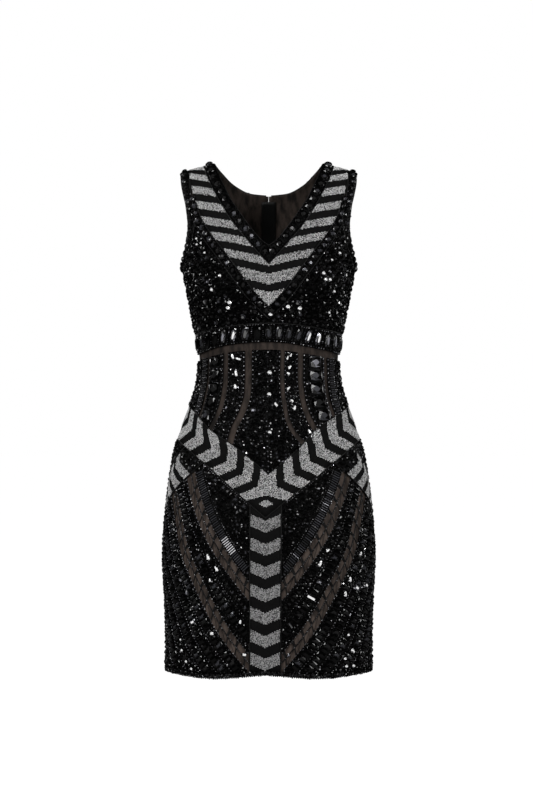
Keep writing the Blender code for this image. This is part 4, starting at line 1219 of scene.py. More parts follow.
def circle(count, wide=0.5, pointed=0.0):
    """An outline of the given number of corners; pointed draws its two ends along X out to points."""
    angles = np.arange(count) * 2 * math.pi / count
    reach = 1 - pointed * (1 - np.abs(np.cos(angles)))
    return [(wide * math.cos(a), wide * math.sin(a) * r) for a, r in zip(angles, reach)]


def stone_kinds():
    """The cuts, each one unit long, wide and high, standing on the cloth at height 0."""
    bpy.data.collections.new("stone_kinds")
    six, eight = circle(6), circle(8)
    stone_kind(ROUND, "round", [ring(six, 0.8, -0.15), ring(six, 1, 0.15), ring(six, 0.52, 0.5, 0.5)])
    stone_kind(SEED, "seed", [circle_row(4, 0.5, 0.15)], apex=0.6, base_apex=-0.3)
    oval = circle(10, pointed=0.22)
    stone_kind(OVAL, "oval", cut(oval, 0.56, 0.36))
    drop = [(x * 1.0, y * (0.62 - 0.75 * x)) for x, y in circle(8)]
    stone_kind(DROP, "drop", cut([(x, y * 1.3) for x, y in drop]))
    corner = 0.34
    cushion = [(0.5, corner), (corner, 0.5), (-corner, 0.5), (-0.5, corner)]
    cushion += [(-x, -y) for x, y in cushion]
    stone_kind(CUSHION, "cushion", cut(cushion, 0.45, 0.45))
    lozenge = [(0.4, 0.1), (0.1, 0.4), (-0.1, 0.4), (-0.4, 0.1)]
    lozenge += [(-x, -y) for x, y in lozenge]
    stone_kind(FACETED, "faceted", [*cut(cushion)[:3], [(x * 0.55, y * 0.55, 0.5) for x, y in lozenge]])
    half = [(0.0, 0.5 * math.cos(a), 0.25 + 0.25 * math.sin(a)) for a in np.arange(5) * 2 * math.pi / 5]
    stone_kind(BAR, "bar", [[(x, y, z) for _, y, z in half] for x in (-0.5, 0.5)])
    stone_kind(LARGE, "large", cut(eight, 0.42, 0.42))
    tooth = [(0.5, 0.35), (0.5, -0.35), (-0.5, -0.5), (-0.5, 0.5)]
    stone_kind(TOOTH, "tooth", [ring(tooth, 1, 0.0), ring(tooth, 0.8, 0.5)])


def circle_row(count, wide, height):
    return [(x, y, height) for x, y in circle(count, wide)]


def cut(outline, long=0.5, wide=0.5):
    """Rings of a stone with a girdle, a belt of slanting facets and a table."""
    return [
        ring(outline, 0.85, -0.12),
        ring(outline, 1.0, 0.12),
        ring(outline, 0.82, 0.36, 0.5),
        [(x * long, y * wide, 0.5) for x, y in outline],
    ]


stone_kinds()


class Beads:
    """The stones and beads of one piece, gathered row by row and made as one mesh."""

    def __init__(self, name, nodes, finish_name="stones", tilt=0.2, seed=1):
        self.name, self.nodes, self.finish_name = name, nodes, finish_name
        self.tilt, self.seed, self.parts = tilt, seed, []
        self.dice = np.random.default_rng(seed)

    def add(self, points, kind, size, side=1, run=None, lift=STACK, tone=JET_TONE):
        """Stones at (turn, level) points. run is the way over the cloth that each stone's length takes."""
        points = np.asarray(points, float).reshape(-1, 2)
        count = len(points)
        if not count:
            return
        out = facing(points)
        places = surface(points) + out * np.reshape(lift, (-1, 1) if np.ndim(lift) else (1,))
        if run is None:
            angle = self.dice.uniform(0, 2 * math.pi, (count, 1))
            by_turn = unit(slopes(points)[0])
            run = by_turn * np.cos(angle) + np.cross(out, by_turn) * np.sin(angle)
        run = unit(np.broadcast_to(run, (count, 3)).copy())
        size = np.broadcast_to(np.asarray(size, float), (count, 3)).copy()
        for vectors in (places, out, run):
            vectors[:, 0] *= side
        tone = np.broadcast_to(np.asarray(tone, float), (count,))
        self.parts.append((places, out, run, size, tone, np.broadcast_to(np.asarray(kind), (count,))))

    def make(self):
        places, out, run, size, tone, kind = (np.concatenate(column) for column in zip(*self.parts))
        mesh = bpy.data.meshes.new(self.name + "_points")
        mesh.from_pydata(places.tolist(), [], [])
        for label, values in (("out", out), ("run", run), ("size", size)):
            mesh.attributes.new(label, "FLOAT_VECTOR", "POINT").data.foreach_set("vector", values.ravel())
        mesh.attributes.new("tone", "FLOAT", "POINT").data.foreach_set("value", tone)
        mesh.attributes.new("kind", "INT", "POINT").data.foreach_set("value", kind.astype(np.int32))
        values = {
            "Stones": bpy.data.collections["stone_kinds"],
            "Tilt": self.tilt,
            "Seed": self.seed,
            "Finish": FINISH[self.finish_name],
        }
        made = worked_out(self.name, mesh, STONES_TREE, values)
        ride(made)
        for node in self.nodes:
            GOES_WITH[node].append(made)
        return made

    def tones(self, count, smoky=0.14, clear=0.02, pewter=0.0):
        """Tones at random: mostly jet, a share of them smoky, and a few pewter or clear; the clear ones glow
        white as painted sparkle.
        """
        roll = self.dice.uniform(0, 1, count)
        tone = self.dice.uniform(0.15, 0.76, count)
        tone[roll < clear + pewter + smoky] = SMOKE_TONE
        tone[roll < clear + pewter] = PEWTER_TONE
        tone[roll < clear] = CLEAR_GLINT_TONE
        return tone


def beads_on(node, label, half, tilt, seed):
    """The beads to be set on the left or the right one of two panels, and that panel's grid."""
    node = f"{node}_{half}"
    return Beads(f"{label}_{half}", [node], tilt=tilt, seed=seed), LAID[node]["grid"]


def spaced(edge, pitch, start=0.5):
    """Points at an even pitch along an edge, and the direction of the edge at each."""
    along = lengths(edge)
    count = max(int(round((along[-1] - 2 * start * pitch) / pitch)), 1) + 1
    at = np.linspace(start * pitch, along[-1] - start * pitch, count)
    points = np.stack([np.interp(at, along, edge[:, k]) for k in (0, 1)], axis=-1)
    near = np.stack([np.interp(at + s, along, edge[:, k]) for s in (-0.001, 0.001) for k in (0, 1)], axis=-1)
    return points, unit(surface(near[:, 2:]) - surface(near[:, :2]))


def across(points, run):
    """The direction over the cloth at right angles to a run."""
    return np.cross(facing(points), run)


def turned(points, run, degrees):
    angle = math.radians(degrees)
    return run * math.cos(angle) + across(points, run) * math.sin(angle)


def outline_of(grid):
    return np.concatenate([grid[0], grid[1:, -1], grid[-1, -2::-1], grid[-2:0:-1, 0]])


def inside(points, outline):
    """Tells which points lie within an outline, all as (turn, level)."""
    x, y = points[:, :1], points[:, 1:]
    a, b = outline, np.roll(outline, -1, axis=0)
    crossing = (a[:, 1] > y) != (b[:, 1] > y)
    with np.errstate(divide="ignore", invalid="ignore"):
        where = a[:, 0] + (y - a[:, 1]) * (b[:, 0] - a[:, 0]) / (b[:, 1] - a[:, 1])
    return (crossing & (x < where)).sum(1) % 2 == 1


def from_edge(places, outline):
    """How far each place is from an outline."""
    rim = surface(outline)
    nearest = np.full(len(places), 1.0)
    for first in range(0, len(places), 2000):
        part = places[first : first + 2000]
        nearest[first : first + 2000] = np.sqrt(((part[:, None] - rim[None]) ** 2).sum(2).min(1))
    return nearest


class Crowd:
    """Places already taken, so that nothing is set on top of them."""

    def __init__(self, cell=0.012):
        self.cell, self.taken = cell, {}

    def key(self, place):
        return tuple(int(math.floor(v / self.cell)) for v in place)

    def free(self, place, radius):
        cx, cy, cz = self.key(place)
        for dx in (-1, 0, 1):
            for dy in (-1, 0, 1):
                for dz in (-1, 0, 1):
                    for other, reach in self.taken.get((cx + dx, cy + dy, cz + dz), ()):
                        x, y, z = place[0] - other[0], place[1] - other[1], place[2] - other[2]
                        if x**2 + y**2 + z**2 < (radius + reach) * (radius + reach):
                            return False
        return True

    def take(self, place, radius):
        self.taken.setdefault(self.key(place), []).append((tuple(place), radius))

    def take_all(self, points, radius):
        for place in surface(np.asarray(points).reshape(-1, 2)):
            self.take(tuple(place), radius)


def strewn(grid, sizes, dice, crowd, closeness=0.92):
    """Beads crowded over a grid at random, largest first. sizes: rows of (diameter, tries a square metre)."""
    outline = outline_of(grid)
    places = surface(grid)
    a, b = places[1:, 1:] - places[:-1, :-1], places[1:, :-1] - places[:-1, 1:]
    areas = np.linalg.norm(np.cross(a, b), axis=2).ravel() / 2
    chosen, widths = [], []
    for diameter, tries in sizes:
        count = int(tries * areas.sum())
        cell = dice.choice(len(areas), count, p=areas / areas.sum())
        i, j = np.divmod(cell, grid.shape[1] - 1)
        s, t = dice.uniform(0, 1, (2, count, 1))
        near = (1 - t) * grid[i, j] + t * grid[i + 1, j]
        far = (1 - t) * grid[i, j + 1] + t * grid[i + 1, j + 1]
        points = (1 - s) * near + s * far
        spots = surface(points)
        points = points[from_edge(spots, outline) > diameter * 0.45]
        for point, spot in zip(points, surface(points)):
            radius = diameter / 2 * closeness
            if crowd.free(spot, radius):
                crowd.take(tuple(spot), radius)
                chosen.append(point)
                widths.append(diameter)
    return np.array(chosen).reshape(-1, 2), np.array(widths)


WIDEST_CLEAR, LEAST_CUT = 0.0036, 0.0034
# A row of small beads along an edge: diameter, pitch, share of bright ones, share of smoky ones.
SMALL_ROW = (0.0019, 0.0036, 0.6, 0.3)


def strew(beads, grid, side, sizes, crowd, smoky=0.14, clear=0.02, kinds=(ROUND,), lift=STACK):
    points, widths = strewn(grid, sizes, beads.dice, crowd)
    if not len(points):
        return
    widths = widths * beads.dice.uniform(0.9, 1.08, len(widths))
    large = widths > LEAST_CUT
    kind = np.where(large, beads.dice.choice(kinds, len(widths)), SEED)
    size = np.stack([widths, widths, widths * 0.62], axis=-1)
    oval = (kind == OVAL) | (kind == DROP)
    size[oval, 0] *= 1.15
    size[oval, 1] *= 0.75
    tone = beads.tones(len(points), smoky, clear, clear)
    tone[(tone == CLEAR_GLINT_TONE) & (widths > WIDEST_CLEAR)] = PEWTER_TONE
    beads.add(points, kind, size, side, lift=lift, tone=tone)


def bead_line(beads, edge, side, diameter, pitch, bright, smoky, lift=STACK, crowd=None):
    """A row of tiny beads along an edge, with a share of them bright."""
    points, run = spaced(edge, pitch)
    tone = beads.tones(len(points), smoky, bright * 0.15, bright * 0.85)
    tone[tone == PEWTER_TONE] = PALE_TONE
    beads.add(points, SEED, (diameter, diameter, diameter * 1.1), side, run, lift, tone)
    if crowd is not None:
        crowd.take_all(points, diameter * 0.5)


# Stones toned pale or brilliant white, the brilliant ones glowing: painted glints where stones catch the light
# in the front
# picture. Read from it: across and down in its pixels, then their own sizes in millimetres. A row that stops
# early is as wide as it is long, level and brilliant.
PICTURE_CENTRE, PICTURE_LEVEL, PIXEL = (268.7, 400.0), -0.393, 0.001612
GLINT_STONES = (
    # across, down, kind, length, width, degrees from level, tone
    (334.7, 227.4, ROUND, 4.5), (340.0, 251.6, ROUND, 5.0), (331.6, 259.0, ROUND, 4.5),
    (322.8, 272.8, ROUND, 6.0), (329.1, 270.9, ROUND, 6.5, 6.5, 0, PALE_TONE), (324.9, 278.9, ROUND, 6.0),
    (329.4, 278.7, ROUND, 6.0), (334.0, 289.9, ROUND, 5.0), (228.3, 264.9, ROUND, 4.5),
    (233.7, 270.5, ROUND, 5.0), (220.3, 275.4, ROUND, 5.0), (212.2, 288.5, ROUND, 6.0),
    (208.4, 280.8, ROUND, 7.0, 7.0, 0, PALE_TONE), (229.7, 301.1, ROUND, 6.5), (228.1, 306.4, ROUND, 6.0),
    (265.2, 307.0, ROUND, 5.5), (270.4, 313.5, ROUND, 6.0), (288.1, 305.7, ROUND, 6.5),
    (299.6, 307.0, ROUND, 6.5), (329.1, 310.9, ROUND, 4.5), (195.8, 236.6, ROUND, 4.0),
    (196.2, 242.6, ROUND, 4.0), (204.6, 251.6, ROUND, 4.0), (339.6, 301.0, ROUND, 4.0),
    (210.6, 359.3, DROP, 7.5, 4.5, 60), (218.7, 359.3, DROP, 7.5, 4.5, 60, PALE_TONE),
    (233.1, 356.0, OVAL, 9.0, 4.0, 110), (238.2, 358.4, OVAL, 8.0, 3.4, 160),
    (236.1, 373.4, OVAL, 10.5, 4.0, 100), (235.3, 386.4, DROP, 8.0, 5.0, 95),
    (227.4, 408.0, DROP, 6.5, 4.5, 70, PALE_TONE), (252.3, 410.8, ROUND, 8.0, 8.0, 0, PALE_TONE),
    (269.5, 372.8, ROUND, 6.8), (269.1, 394.7, ROUND, 6.2), (276.2, 405.0, OVAL, 8.5, 4.5, 130),
    (269.7, 433.0, ROUND, 5.6), (288.1, 357.1, DROP, 7.0, 4.0, 60), (291.4, 354.4, DROP, 6.5, 3.6, 60),
    (290.3, 366.9, DROP, 8.0, 5.5, 30), (288.6, 373.4, DROP, 7.0, 5.0, 150),
    (289.2, 388.3, DROP, 7.5, 4.5, 30), (292.4, 401.0, DROP, 7.0, 4.5, 140),
    (295.1, 408.0, DROP, 8.0, 6.0, 60), (309.8, 431.9, DROP, 7.5, 4.5, 100), (246.9, 538.5, SEED, 2.0),
    (241.5, 548.0, SEED, 2.4), (208.9, 557.8, DROP, 10.5, 6.0, 105), (217.1, 569.5, DROP, 9.5, 5.5, 120),
    (210.9, 581.1, DROP, 5.5, 3.6, 90), (213.0, 633.2, OVAL, 6.5, 5.5, 0),
    (240.4, 622.3, OVAL, 6.5, 4.0, 80), (244.5, 654.5, OVAL, 6.5, 4.5, 160),
    (328.2, 551.0, DROP, 6.5, 5.5, 20), (320.6, 564.0, DROP, 10.5, 6.0, 60),
    (319.9, 583.0, CUSHION, 8.5, 5.5, 150, PALE_TONE), (311.7, 598.3, BAR, 11.5, 3.4, 150),
    (291.1, 625.7, BAR, 8.0, 2.6, 125, PALE_TONE), (350.8, 581.1, DROP, 9.0, 5.5, 80),
    (346.0, 595.5, DROP, 9.5, 5.5, 80), (361.8, 555.8, DROP, 7.5, 4.5, 60),
    (187.6, 594.2, DROP, 10.5, 7.5, 100, PALE_TONE), (180.8, 582.5, OVAL, 8.0, 6.0, 150, PALE_TONE),
    (289.0, 654.5, DROP, 6.5, 5.0, 90, PALE_TONE), (349.4, 636.5, ROUND, 4.6), (353.5, 652.0, ROUND, 5.6),
    (354.9, 653.6, ROUND, 4.6), (346.0, 659.3, ROUND, 5.0), (354.9, 667.5, ROUND, 5.0),
    (347.4, 666.8, ROUND, 5.0), (361.0, 644.0, ROUND, 4.0), (181.5, 652.4, ROUND, 4.4),
    (186.3, 662.7, ROUND, 4.6), (180.1, 642.0, ROUND, 3.6), (192.0, 669.0, ROUND, 4.2),
)


def bright_stones(crowds):
    """The painted glint stones of the table above, each on the panel that it lies on."""
    beads = Beads("bright_stones", ["front"], tilt=0.12, seed=31)
    for across_px, down_px, kind, long, *rest in GLINT_STONES:
        wide, degrees, tone = (*rest, *(long, 0, BRILLIANT_GLINT_TONE)[len(rest) :])
        x = (across_px - PICTURE_CENTRE[0]) * PIXEL
        z = PICTURE_LEVEL - (down_px - PICTURE_CENTRE[1]) * PIXEL
        x -= slid(x, z)
        side = 1 if x >= 0 else -1
        point = seen_at(abs(x), z)
        level_run = unit(slopes(point)[0])
        run = turned(point, level_run, degrees if side > 0 else 180 - degrees)
        size = np.array([long, wide, min(long, wide) * 0.65]) * 1.12 / 1000
        beads.add(point, kind, size, side, run, STACK, tone)
        crowds[side].take_all(point, max(min(long, wide) * 0.55, long * 0.36) / 1000)
    beads.make()


# ---- silver bands

SILVER_PITCH, SILVER_BEAD, DULL_SHARE = 0.00185, (0.0021, 0.0021, 0.0019), 0.22
BIB_STRIPES = (
    # top and foot of each silver stripe on the centre line, as the stripe would run on there
    (-0.0467, -0.0564), (-0.0674, -0.0793), (-0.0912, -0.1035), (-0.1157, -0.1282),
    (-0.1388, -0.1515), (-0.1635, -0.1764), (-0.1888, -0.2058), (-0.2178, -0.2600),
)
STRIPE_RISE, STRIPE_BEND = 0.22, 0.12
SHOULDER_PITCH, SHOULDER_BLACK = 0.0246, 0.0118
CHEVRON_STEP = (0.0254, 0.0203)
CHEVRON_UPPER, CHEVRON_LOWER = (-0.0023, 0.0199), (0.0176, -0.0077)
CHEVRON_SILVER = 0.56
FIRST_CHEVRON = (0.0264, -0.5244)
STAR_LOW, STAR_SLOPE = -0.5474, -0.27
DIAMOND = (-0.5606, 0.0129, 0.0065)
COLUMN_PITCH, COLUMN_TOP, COLUMN_SILVER, COLUMN_SLOPE = 0.0374, -0.5774, 0.52, 0.44
SIDE_STEP = (0.0215, -0.0166)
SIDE_UPPER, SIDE_LOWER = (-0.0060, 0.0310), (-0.0240, -0.0166)
SIDE_VERTEX = (0.1535, -0.5040)
SIDE_SILVER, SIDE_PLAIN = 0.58, 0.0160


def around(points, behind):
    """How far round the body each point is from the centre front, or from the centre back."""
    turns = np.linspace(0, math.pi / 2 + 0.05, 200)
    base = np.stack([math.pi - turns if behind else turns, np.full(200, -0.52)], axis=-1)
    along = lengths(base)
    turn = math.pi - points[:, 0] if behind else points[:, 0]
    return np.interp(turn, turns, along) * block(points[:, 1])[0] / block(np.array(-0.52))[0]


def chevron_phase(across_m, up_m, step, upper, lower, origin):
    """Which chevron of a row each point is in, as a number that grows by 1 from one chevron to the next."""
    x, z = across_m - origin[0], up_m - origin[1]
    found = []
    for arm in (upper, lower):
        spread = step[0] * arm[1] - step[1] * arm[0]
        found.append(((x * arm[1] - z * arm[0]) / spread, (step[0] * z - step[1] * x) / spread))
    (s_upper, t_upper), (s_lower, _) = found
    return np.where(t_upper >= 0, s_upper, s_lower)


def hip_silver(points, behind):
    across_m, up_m = around(points, behind), surface(points)[:, 2]
    phase = chevron_phase(across_m, up_m, CHEVRON_STEP, CHEVRON_UPPER, CHEVRON_LOWER, FIRST_CHEVRON)
    silver = phase - np.floor(phase) < CHEVRON_SILVER
    star = phase < -1 + CHEVRON_SILVER
    x = np.abs(surface(points)[:, 0])
    diamond = x / DIAMOND[1] + np.abs(up_m - DIAMOND[0]) / DIAMOND[2] < 1
    return np.where(star, (up_m > STAR_LOW + STAR_SLOPE * x) | diamond, silver)


def side_silver(points):
    start = (around(seen_at(*SIDE_VERTEX), False)[0], SIDE_VERTEX[1])
    across_m, up_m = around(points, False), surface(points)[:, 2]
    phase = chevron_phase(across_m, up_m, SIDE_STEP, SIDE_UPPER, SIDE_LOWER, start)
    return (phase - np.floor(phase) > 1 - SIDE_SILVER) & (phase > -1)


def side_stones():
    """Black stones over the plain inner end of each side band."""
    for side, half in SIDES:
        beads, grid = beads_on("side_band", "side_band_stones", half, 0.2, 116 + side)
        points, widths = strewn(grid, SKIRT_SIZES, beads.dice, Crowd())
        inner = around(points, False) < around(seen_at(*SIDE_VERTEX), False)[0] - SIDE_PLAIN
        inner &= ~side_silver(points)
        size = widths[inner, None] * np.array([1, 1, 0.6])
        kind = np.where(widths[inner] > LEAST_CUT, ROUND, SEED)
        tone = beads.tones(int(inner.sum()), 0.14, 0.0, 0.03)
        beads.add(points[inner], kind, size, side, None, STACK, tone)
        beads.make()


def column_silver(points):
    places = surface(points)
    fall = COLUMN_TOP + COLUMN_SLOPE * (np.abs(places[:, 0]) - COLUMN) - places[:, 2]
    share = fall / COLUMN_PITCH - np.floor(fall / COLUMN_PITCH)
    return (fall > 0) & (share < COLUMN_SILVER)


def bib_silver(points):
    """Stripes as measured down the front, and at an even pitch from there over the shoulder."""
    places = surface(points)
    x = np.abs(places[:, 0])
    run_out = STRIPE_RISE * x - STRIPE_BEND * x * x
    height = places[:, 2] - run_out
    silver = np.zeros(len(points), bool)
    for top, foot in BIB_STRIPES:
        silver |= (height < top) & (height > foot)
    first = BIB_STRIPES[0][0]
    beyond = climbed(points) - climbed(seen(x, first + run_out))
    share = np.mod(beyond, SHOULDER_PITCH)
    past = (points[:, 1] > TOP) | (height > first)
    return np.where(past, share > SHOULDER_BLACK, silver)


def climbed(points):
    """How far up the front and over the shoulder each point is, at the middle of the shoulder."""
    levels = np.linspace(BUST, TOP + YOKE + 0.02, 200)
    column = np.stack([np.full(200, 0.95), levels], axis=-1)
    return np.interp(points[:, 1], levels, lengths(column))


def lattice(grid, pitch):
    """Points in level rows over a grid of cloth, an even pitch apart each way."""
    outline = outline_of(grid)
    low, high = outline[:, 1].min(), outline[:, 1].max()
    levels = np.linspace(low, high, 400)
    middle = np.full(400, outline[:, 0].mean())
    along = lengths(np.stack([middle, levels], axis=-1))
    rows = np.interp(np.arange(0, along[-1], pitch), along, levels)
    turns = np.linspace(outline[:, 0].min(), outline[:, 0].max(), 160)
    found = []
    for level in rows:
        row = np.stack([turns, np.full(160, level)], axis=-1)
        out = lengths(row)
        at = np.arange(pitch / 2, out[-1], pitch)
        found.append(np.stack([np.interp(at, out, turns), np.full(len(at), level)], axis=-1))
    points = np.concatenate(found)
    points = points[inside(points, outline)]
    return points[from_edge(surface(points), outline) > pitch * 0.4]


def silver_beads(name, node, mask, sides, seed, painted_light_scale=1.0, lift=STACK):
    """Silver seed beads over the silver parts of a band, every tone scaled up as painted light, or down as
    painted shade, for the whole band.
    """
    beads = Beads(name, [node], "silver", tilt=0.5, seed=seed)
    base = lattice(LAID[node]["grid"], SILVER_PITCH)
    for side in sides:
        points = base[mask(base)]
        places = beads.dice.normal(0, SILVER_PITCH * 0.10, (len(points), 2))
        by_turn, by_level = (unit(v) for v in slopes(points))
        points = points + stepped(points, by_turn * places[:, :1] + by_level * places[:, 1:])
        roll, spread = beads.dice.uniform(0, 1, (2, len(points)))
        # each tone scaled for the band: painted light above 1, painted shade below it
        tone = painted_light_scale * np.where(roll < DULL_SHARE, 0.25 * spread, 0.68 + 0.32 * spread)
        beads.add(points, SEED, SILVER_BEAD, side, unit(by_turn), lift, tone)
    beads.make()


def silver_bands():
    hip_front, hip_back = (lambda p, behind=behind: hip_silver(p, behind) for behind in (False, True))
    for name, node, mask, seed, painted_light_scale, lift in (
        # the fifth value scales the tones: painted light on the front hip band, painted shade down the lower
        # column
        ("bib_silver_beads", "chevron_bib", bib_silver, 41, 1.0, STACK + SEAM),
        ("hip_silver_beads_front", "hip_band_front", hip_front, 42, 1.15, STACK),
        ("column_silver_beads", "centre_column", column_silver, 43, 0.65, STACK),
    ):
        silver_beads(name, node, mask, (1, -1), seed, painted_light_scale, lift)
    for side, half in SIDES:
        silver_beads("hip_silver_beads_back_" + half, "hip_band_back_" + half, hip_back, (side,), 44 + side)
        silver_beads("side_silver_beads_" + half, "side_band_" + half, side_silver, (side,), 48 + side)


silver_bands()
CROWDS = {1: Crowd(), -1: Crowd()}
bright_stones(CROWDS)

# ---- trims

NECK_STONE, NECK_PITCH = 0.0136, 0.0160
ARM_STONE, ARM_PITCH = 0.0103, 0.0128
BORDER_STONE, BORDER_PITCH = 0.0116, 0.0138
TRIM_SIZES = ((0.0036, 90000), (0.0024, 160000))


def middle_line(edge_a, edge_b, pieces=200, share=0.5):
    return resampled(edge_a, pieces) * (1 - share) + resampled(edge_b, pieces) * share


def trim_beads(name, node, line, stone, pitch, sides, seed, clear):
    """Large round stones along a trim, with small beads round them."""
    beads = Beads(name, [node], tilt=0.16, seed=seed)
    for side in sides:
        crowd = Crowd()
        points, run = spaced(line, pitch)
        size = stone * beads.dice.uniform(0.94, 1.05, (len(points), 1)) * np.array([1, 1, 0.6])
        tone = beads.dice.uniform(0.62, 0.86, len(points))
        beads.add(points, LARGE, size, side, run, STACK + TRIM_DOME * 0.8, tone)
        crowd.take_all(points, stone * 0.5)
        strew(beads, LAID[node]["grid"], side, TRIM_SIZES, crowd, 0.12, clear)
    beads.make()


def trims():
    line = middle_line(EDGES["neck"], EDGES["trim"])
    trim_beads("neck_stones", "neck_trim", line, NECK_STONE, NECK_PITCH, (1, -1), 51, 0.005)
    line = middle_line(EDGES["arm"], EDGES["arm_outer"])
    for side, half in SIDES:
        node = "armhole_trim_" + half
        trim_beads("armhole_stones_" + half, node, line, ARM_STONE, ARM_PITCH, (side,), 53 + side, 0.08)
    line = LAID["bib_border"]["grid"].mean(1)
    trim_beads("border_stones", "bib_border", line, BORDER_STONE, BORDER_PITCH, (1, -1), 56, 0.06)


trims()

# ---- bodice and empire band

BODICE_SIZES = ((0.0098, 16000), (0.0080, 36000), (0.0060, 70000), (0.0042, 120000), (0.0029, 240000))


def bodice_beads():
    for side, half in SIDES:
        beads, grid = beads_on("bust_panel", "bust_beads", half, 0.32, 60 + side)
        strew(beads, grid, side, BODICE_SIZES, CROWDS[side], 0.13, 0.016)
        beads.make()
        beads, grid = beads_on("back_bodice", "back_bodice_beads", half, 0.32, 64 + side)
        strew(beads, grid, side, BODICE_SIZES, Crowd(), 0.13, 0.022, lift=STACK + 2 * SEAM)
        beads.make()


EMPIRE_GLINTS = {
    # how far from the centre, and the tone: the pale and clear tones here are painted glints on those stones
    -0.0656: PALE_TONE, -0.0463: CLEAR_GLINT_TONE, 0.0611: CLEAR_GLINT_TONE,
    0.0795: CLEAR_GLINT_TONE, 0.0956: PALE_TONE, 0.1048: PALE_TONE,
}
EMPIRE_STONE = (0.0240, 0.0146, 0.0062)


def empire_beads():
    """Tall oval stones side by side, with a thread of tiny beads between each two."""
    for label, node, side, seed in (
        ("front", "empire_band_front", 1, 70),
        ("back_0", "empire_band_back_left", 1, 70),
        ("back_1", "empire_band_back_right", -1, 71),
    ):
        band = EDGES["empire_front" if label == "front" else "empire_back"]
        count = EMPIRE_STONES // (2 if label == "front" else 4)
        stations = resampled(middle_line(band["top"], band["foot"]), count * 2)
        beads = Beads("empire_stones_" + label, [node], tilt=0.1, seed=seed)
        points = stations[1::2]
        tone = beads.tones(count, 0.40, 0.0, 0.03)
        size = np.tile(EMPIRE_STONE, (count, 1))
        if label == "front":
            x = surface(points)[:, 0]
            nearest = [int(np.argmin(np.abs(x - bright))) for bright in EMPIRE_GLINTS]
            tone[nearest] = list(EMPIRE_GLINTS.values())
            size[nearest, 1] *= 0.78
        beads.add(points, OVAL, size, side, unit(slopes(points)[1]), STACK, tone)
        for station in stations[0::2]:
            drop = np.stack([np.full(9, station[0]), station[1] + np.linspace(0.0125, -0.0125, 9)], axis=-1)
            beads.add(drop, SEED, (0.0020, 0.0020, 0.0036), side, None, STACK, beads.tones(9, 0.3, 0.05, 0.4))
        for edge, inset in ((band["top"], -0.0016), (band["foot"], 0.0016)):
            bead_line(beads, moved(edge, inset), side, 0.0021, 0.0042, 0.5, 0.3)
        beads.make()


bodice_beads()
empire_beads()

# ---- midriff

CENTRE_SIZES = ((0.0064, 45000), (0.0052, 90000), (0.0040, 150000), (0.0028, 240000))
FINE_SIZES = ((0.0046, 90000), (0.0036, 160000), (0.0026, 260000))
CUT_STONE = (0.0214, 0.0206, 0.0060)
# the pale first stone of the left row is a painted highlight; the others keep dark tones
CUT_TONES = {1: (PALE_TONE, 0.80, 0.76, 0.74, 0.78), -1: (0.74, 0.72, 0.74, 0.72, 0.76)}
EDGE_INSET = 0.0014
RUNG, RUNG_PITCH = (0.0088, 0.0015, 0.0016), 0.0041
# a tone past the clear ones, so that the rungs given it glow: a painted highlight
RUNG_GLINT_TONE = 1.01


def edge_threads(beads, name, side, crowd, inset=EDGE_INSET, which=("near", "far"), pitch=0.0074):
    """Tiny bright beads along the long edges of a panel, just within them."""
    for edge, sign in (("near", 1), ("far", -1)):
        if edge in which:
            line = moved(EDGES[name][edge], inset * sign)
            bead_line(beads, line, side, 0.0022, pitch, 1.0, 0.0, crowd=crowd)
            bead_line(beads, line, side, 0.0015, pitch / 2, 0.0, 0.3, crowd=crowd)


def rungs(beads, line, side, crowd, size=RUNG, pitch=RUNG_PITCH, degrees=90.0, bright=None, tone=PEWTER_TONE):
    """A ladder of bugles along a line. bright tells which of them, as shares of the line, are toned to glow
    white, as a painted highlight.
    """
    points, run = spaced(line, pitch)
    tones = np.where(beads.dice.uniform(0, 1, len(points)) < 0.75, tone, SMOKE_TONE)
    if bright is not None:
        share = np.linspace(0, 1, len(points))
        tones = np.where((share > bright[0]) & (share < bright[1]), RUNG_GLINT_TONE, tones)
    beads.add(points, BAR, size, side, turned(points, run, degrees), STACK, tones)
    for offset in (-0.32, 0.0, 0.32):
        spots = points + stepped(points, across(points, run) * size[0] * offset)
        crowd.take_all(spots, size[0] * 0.17)


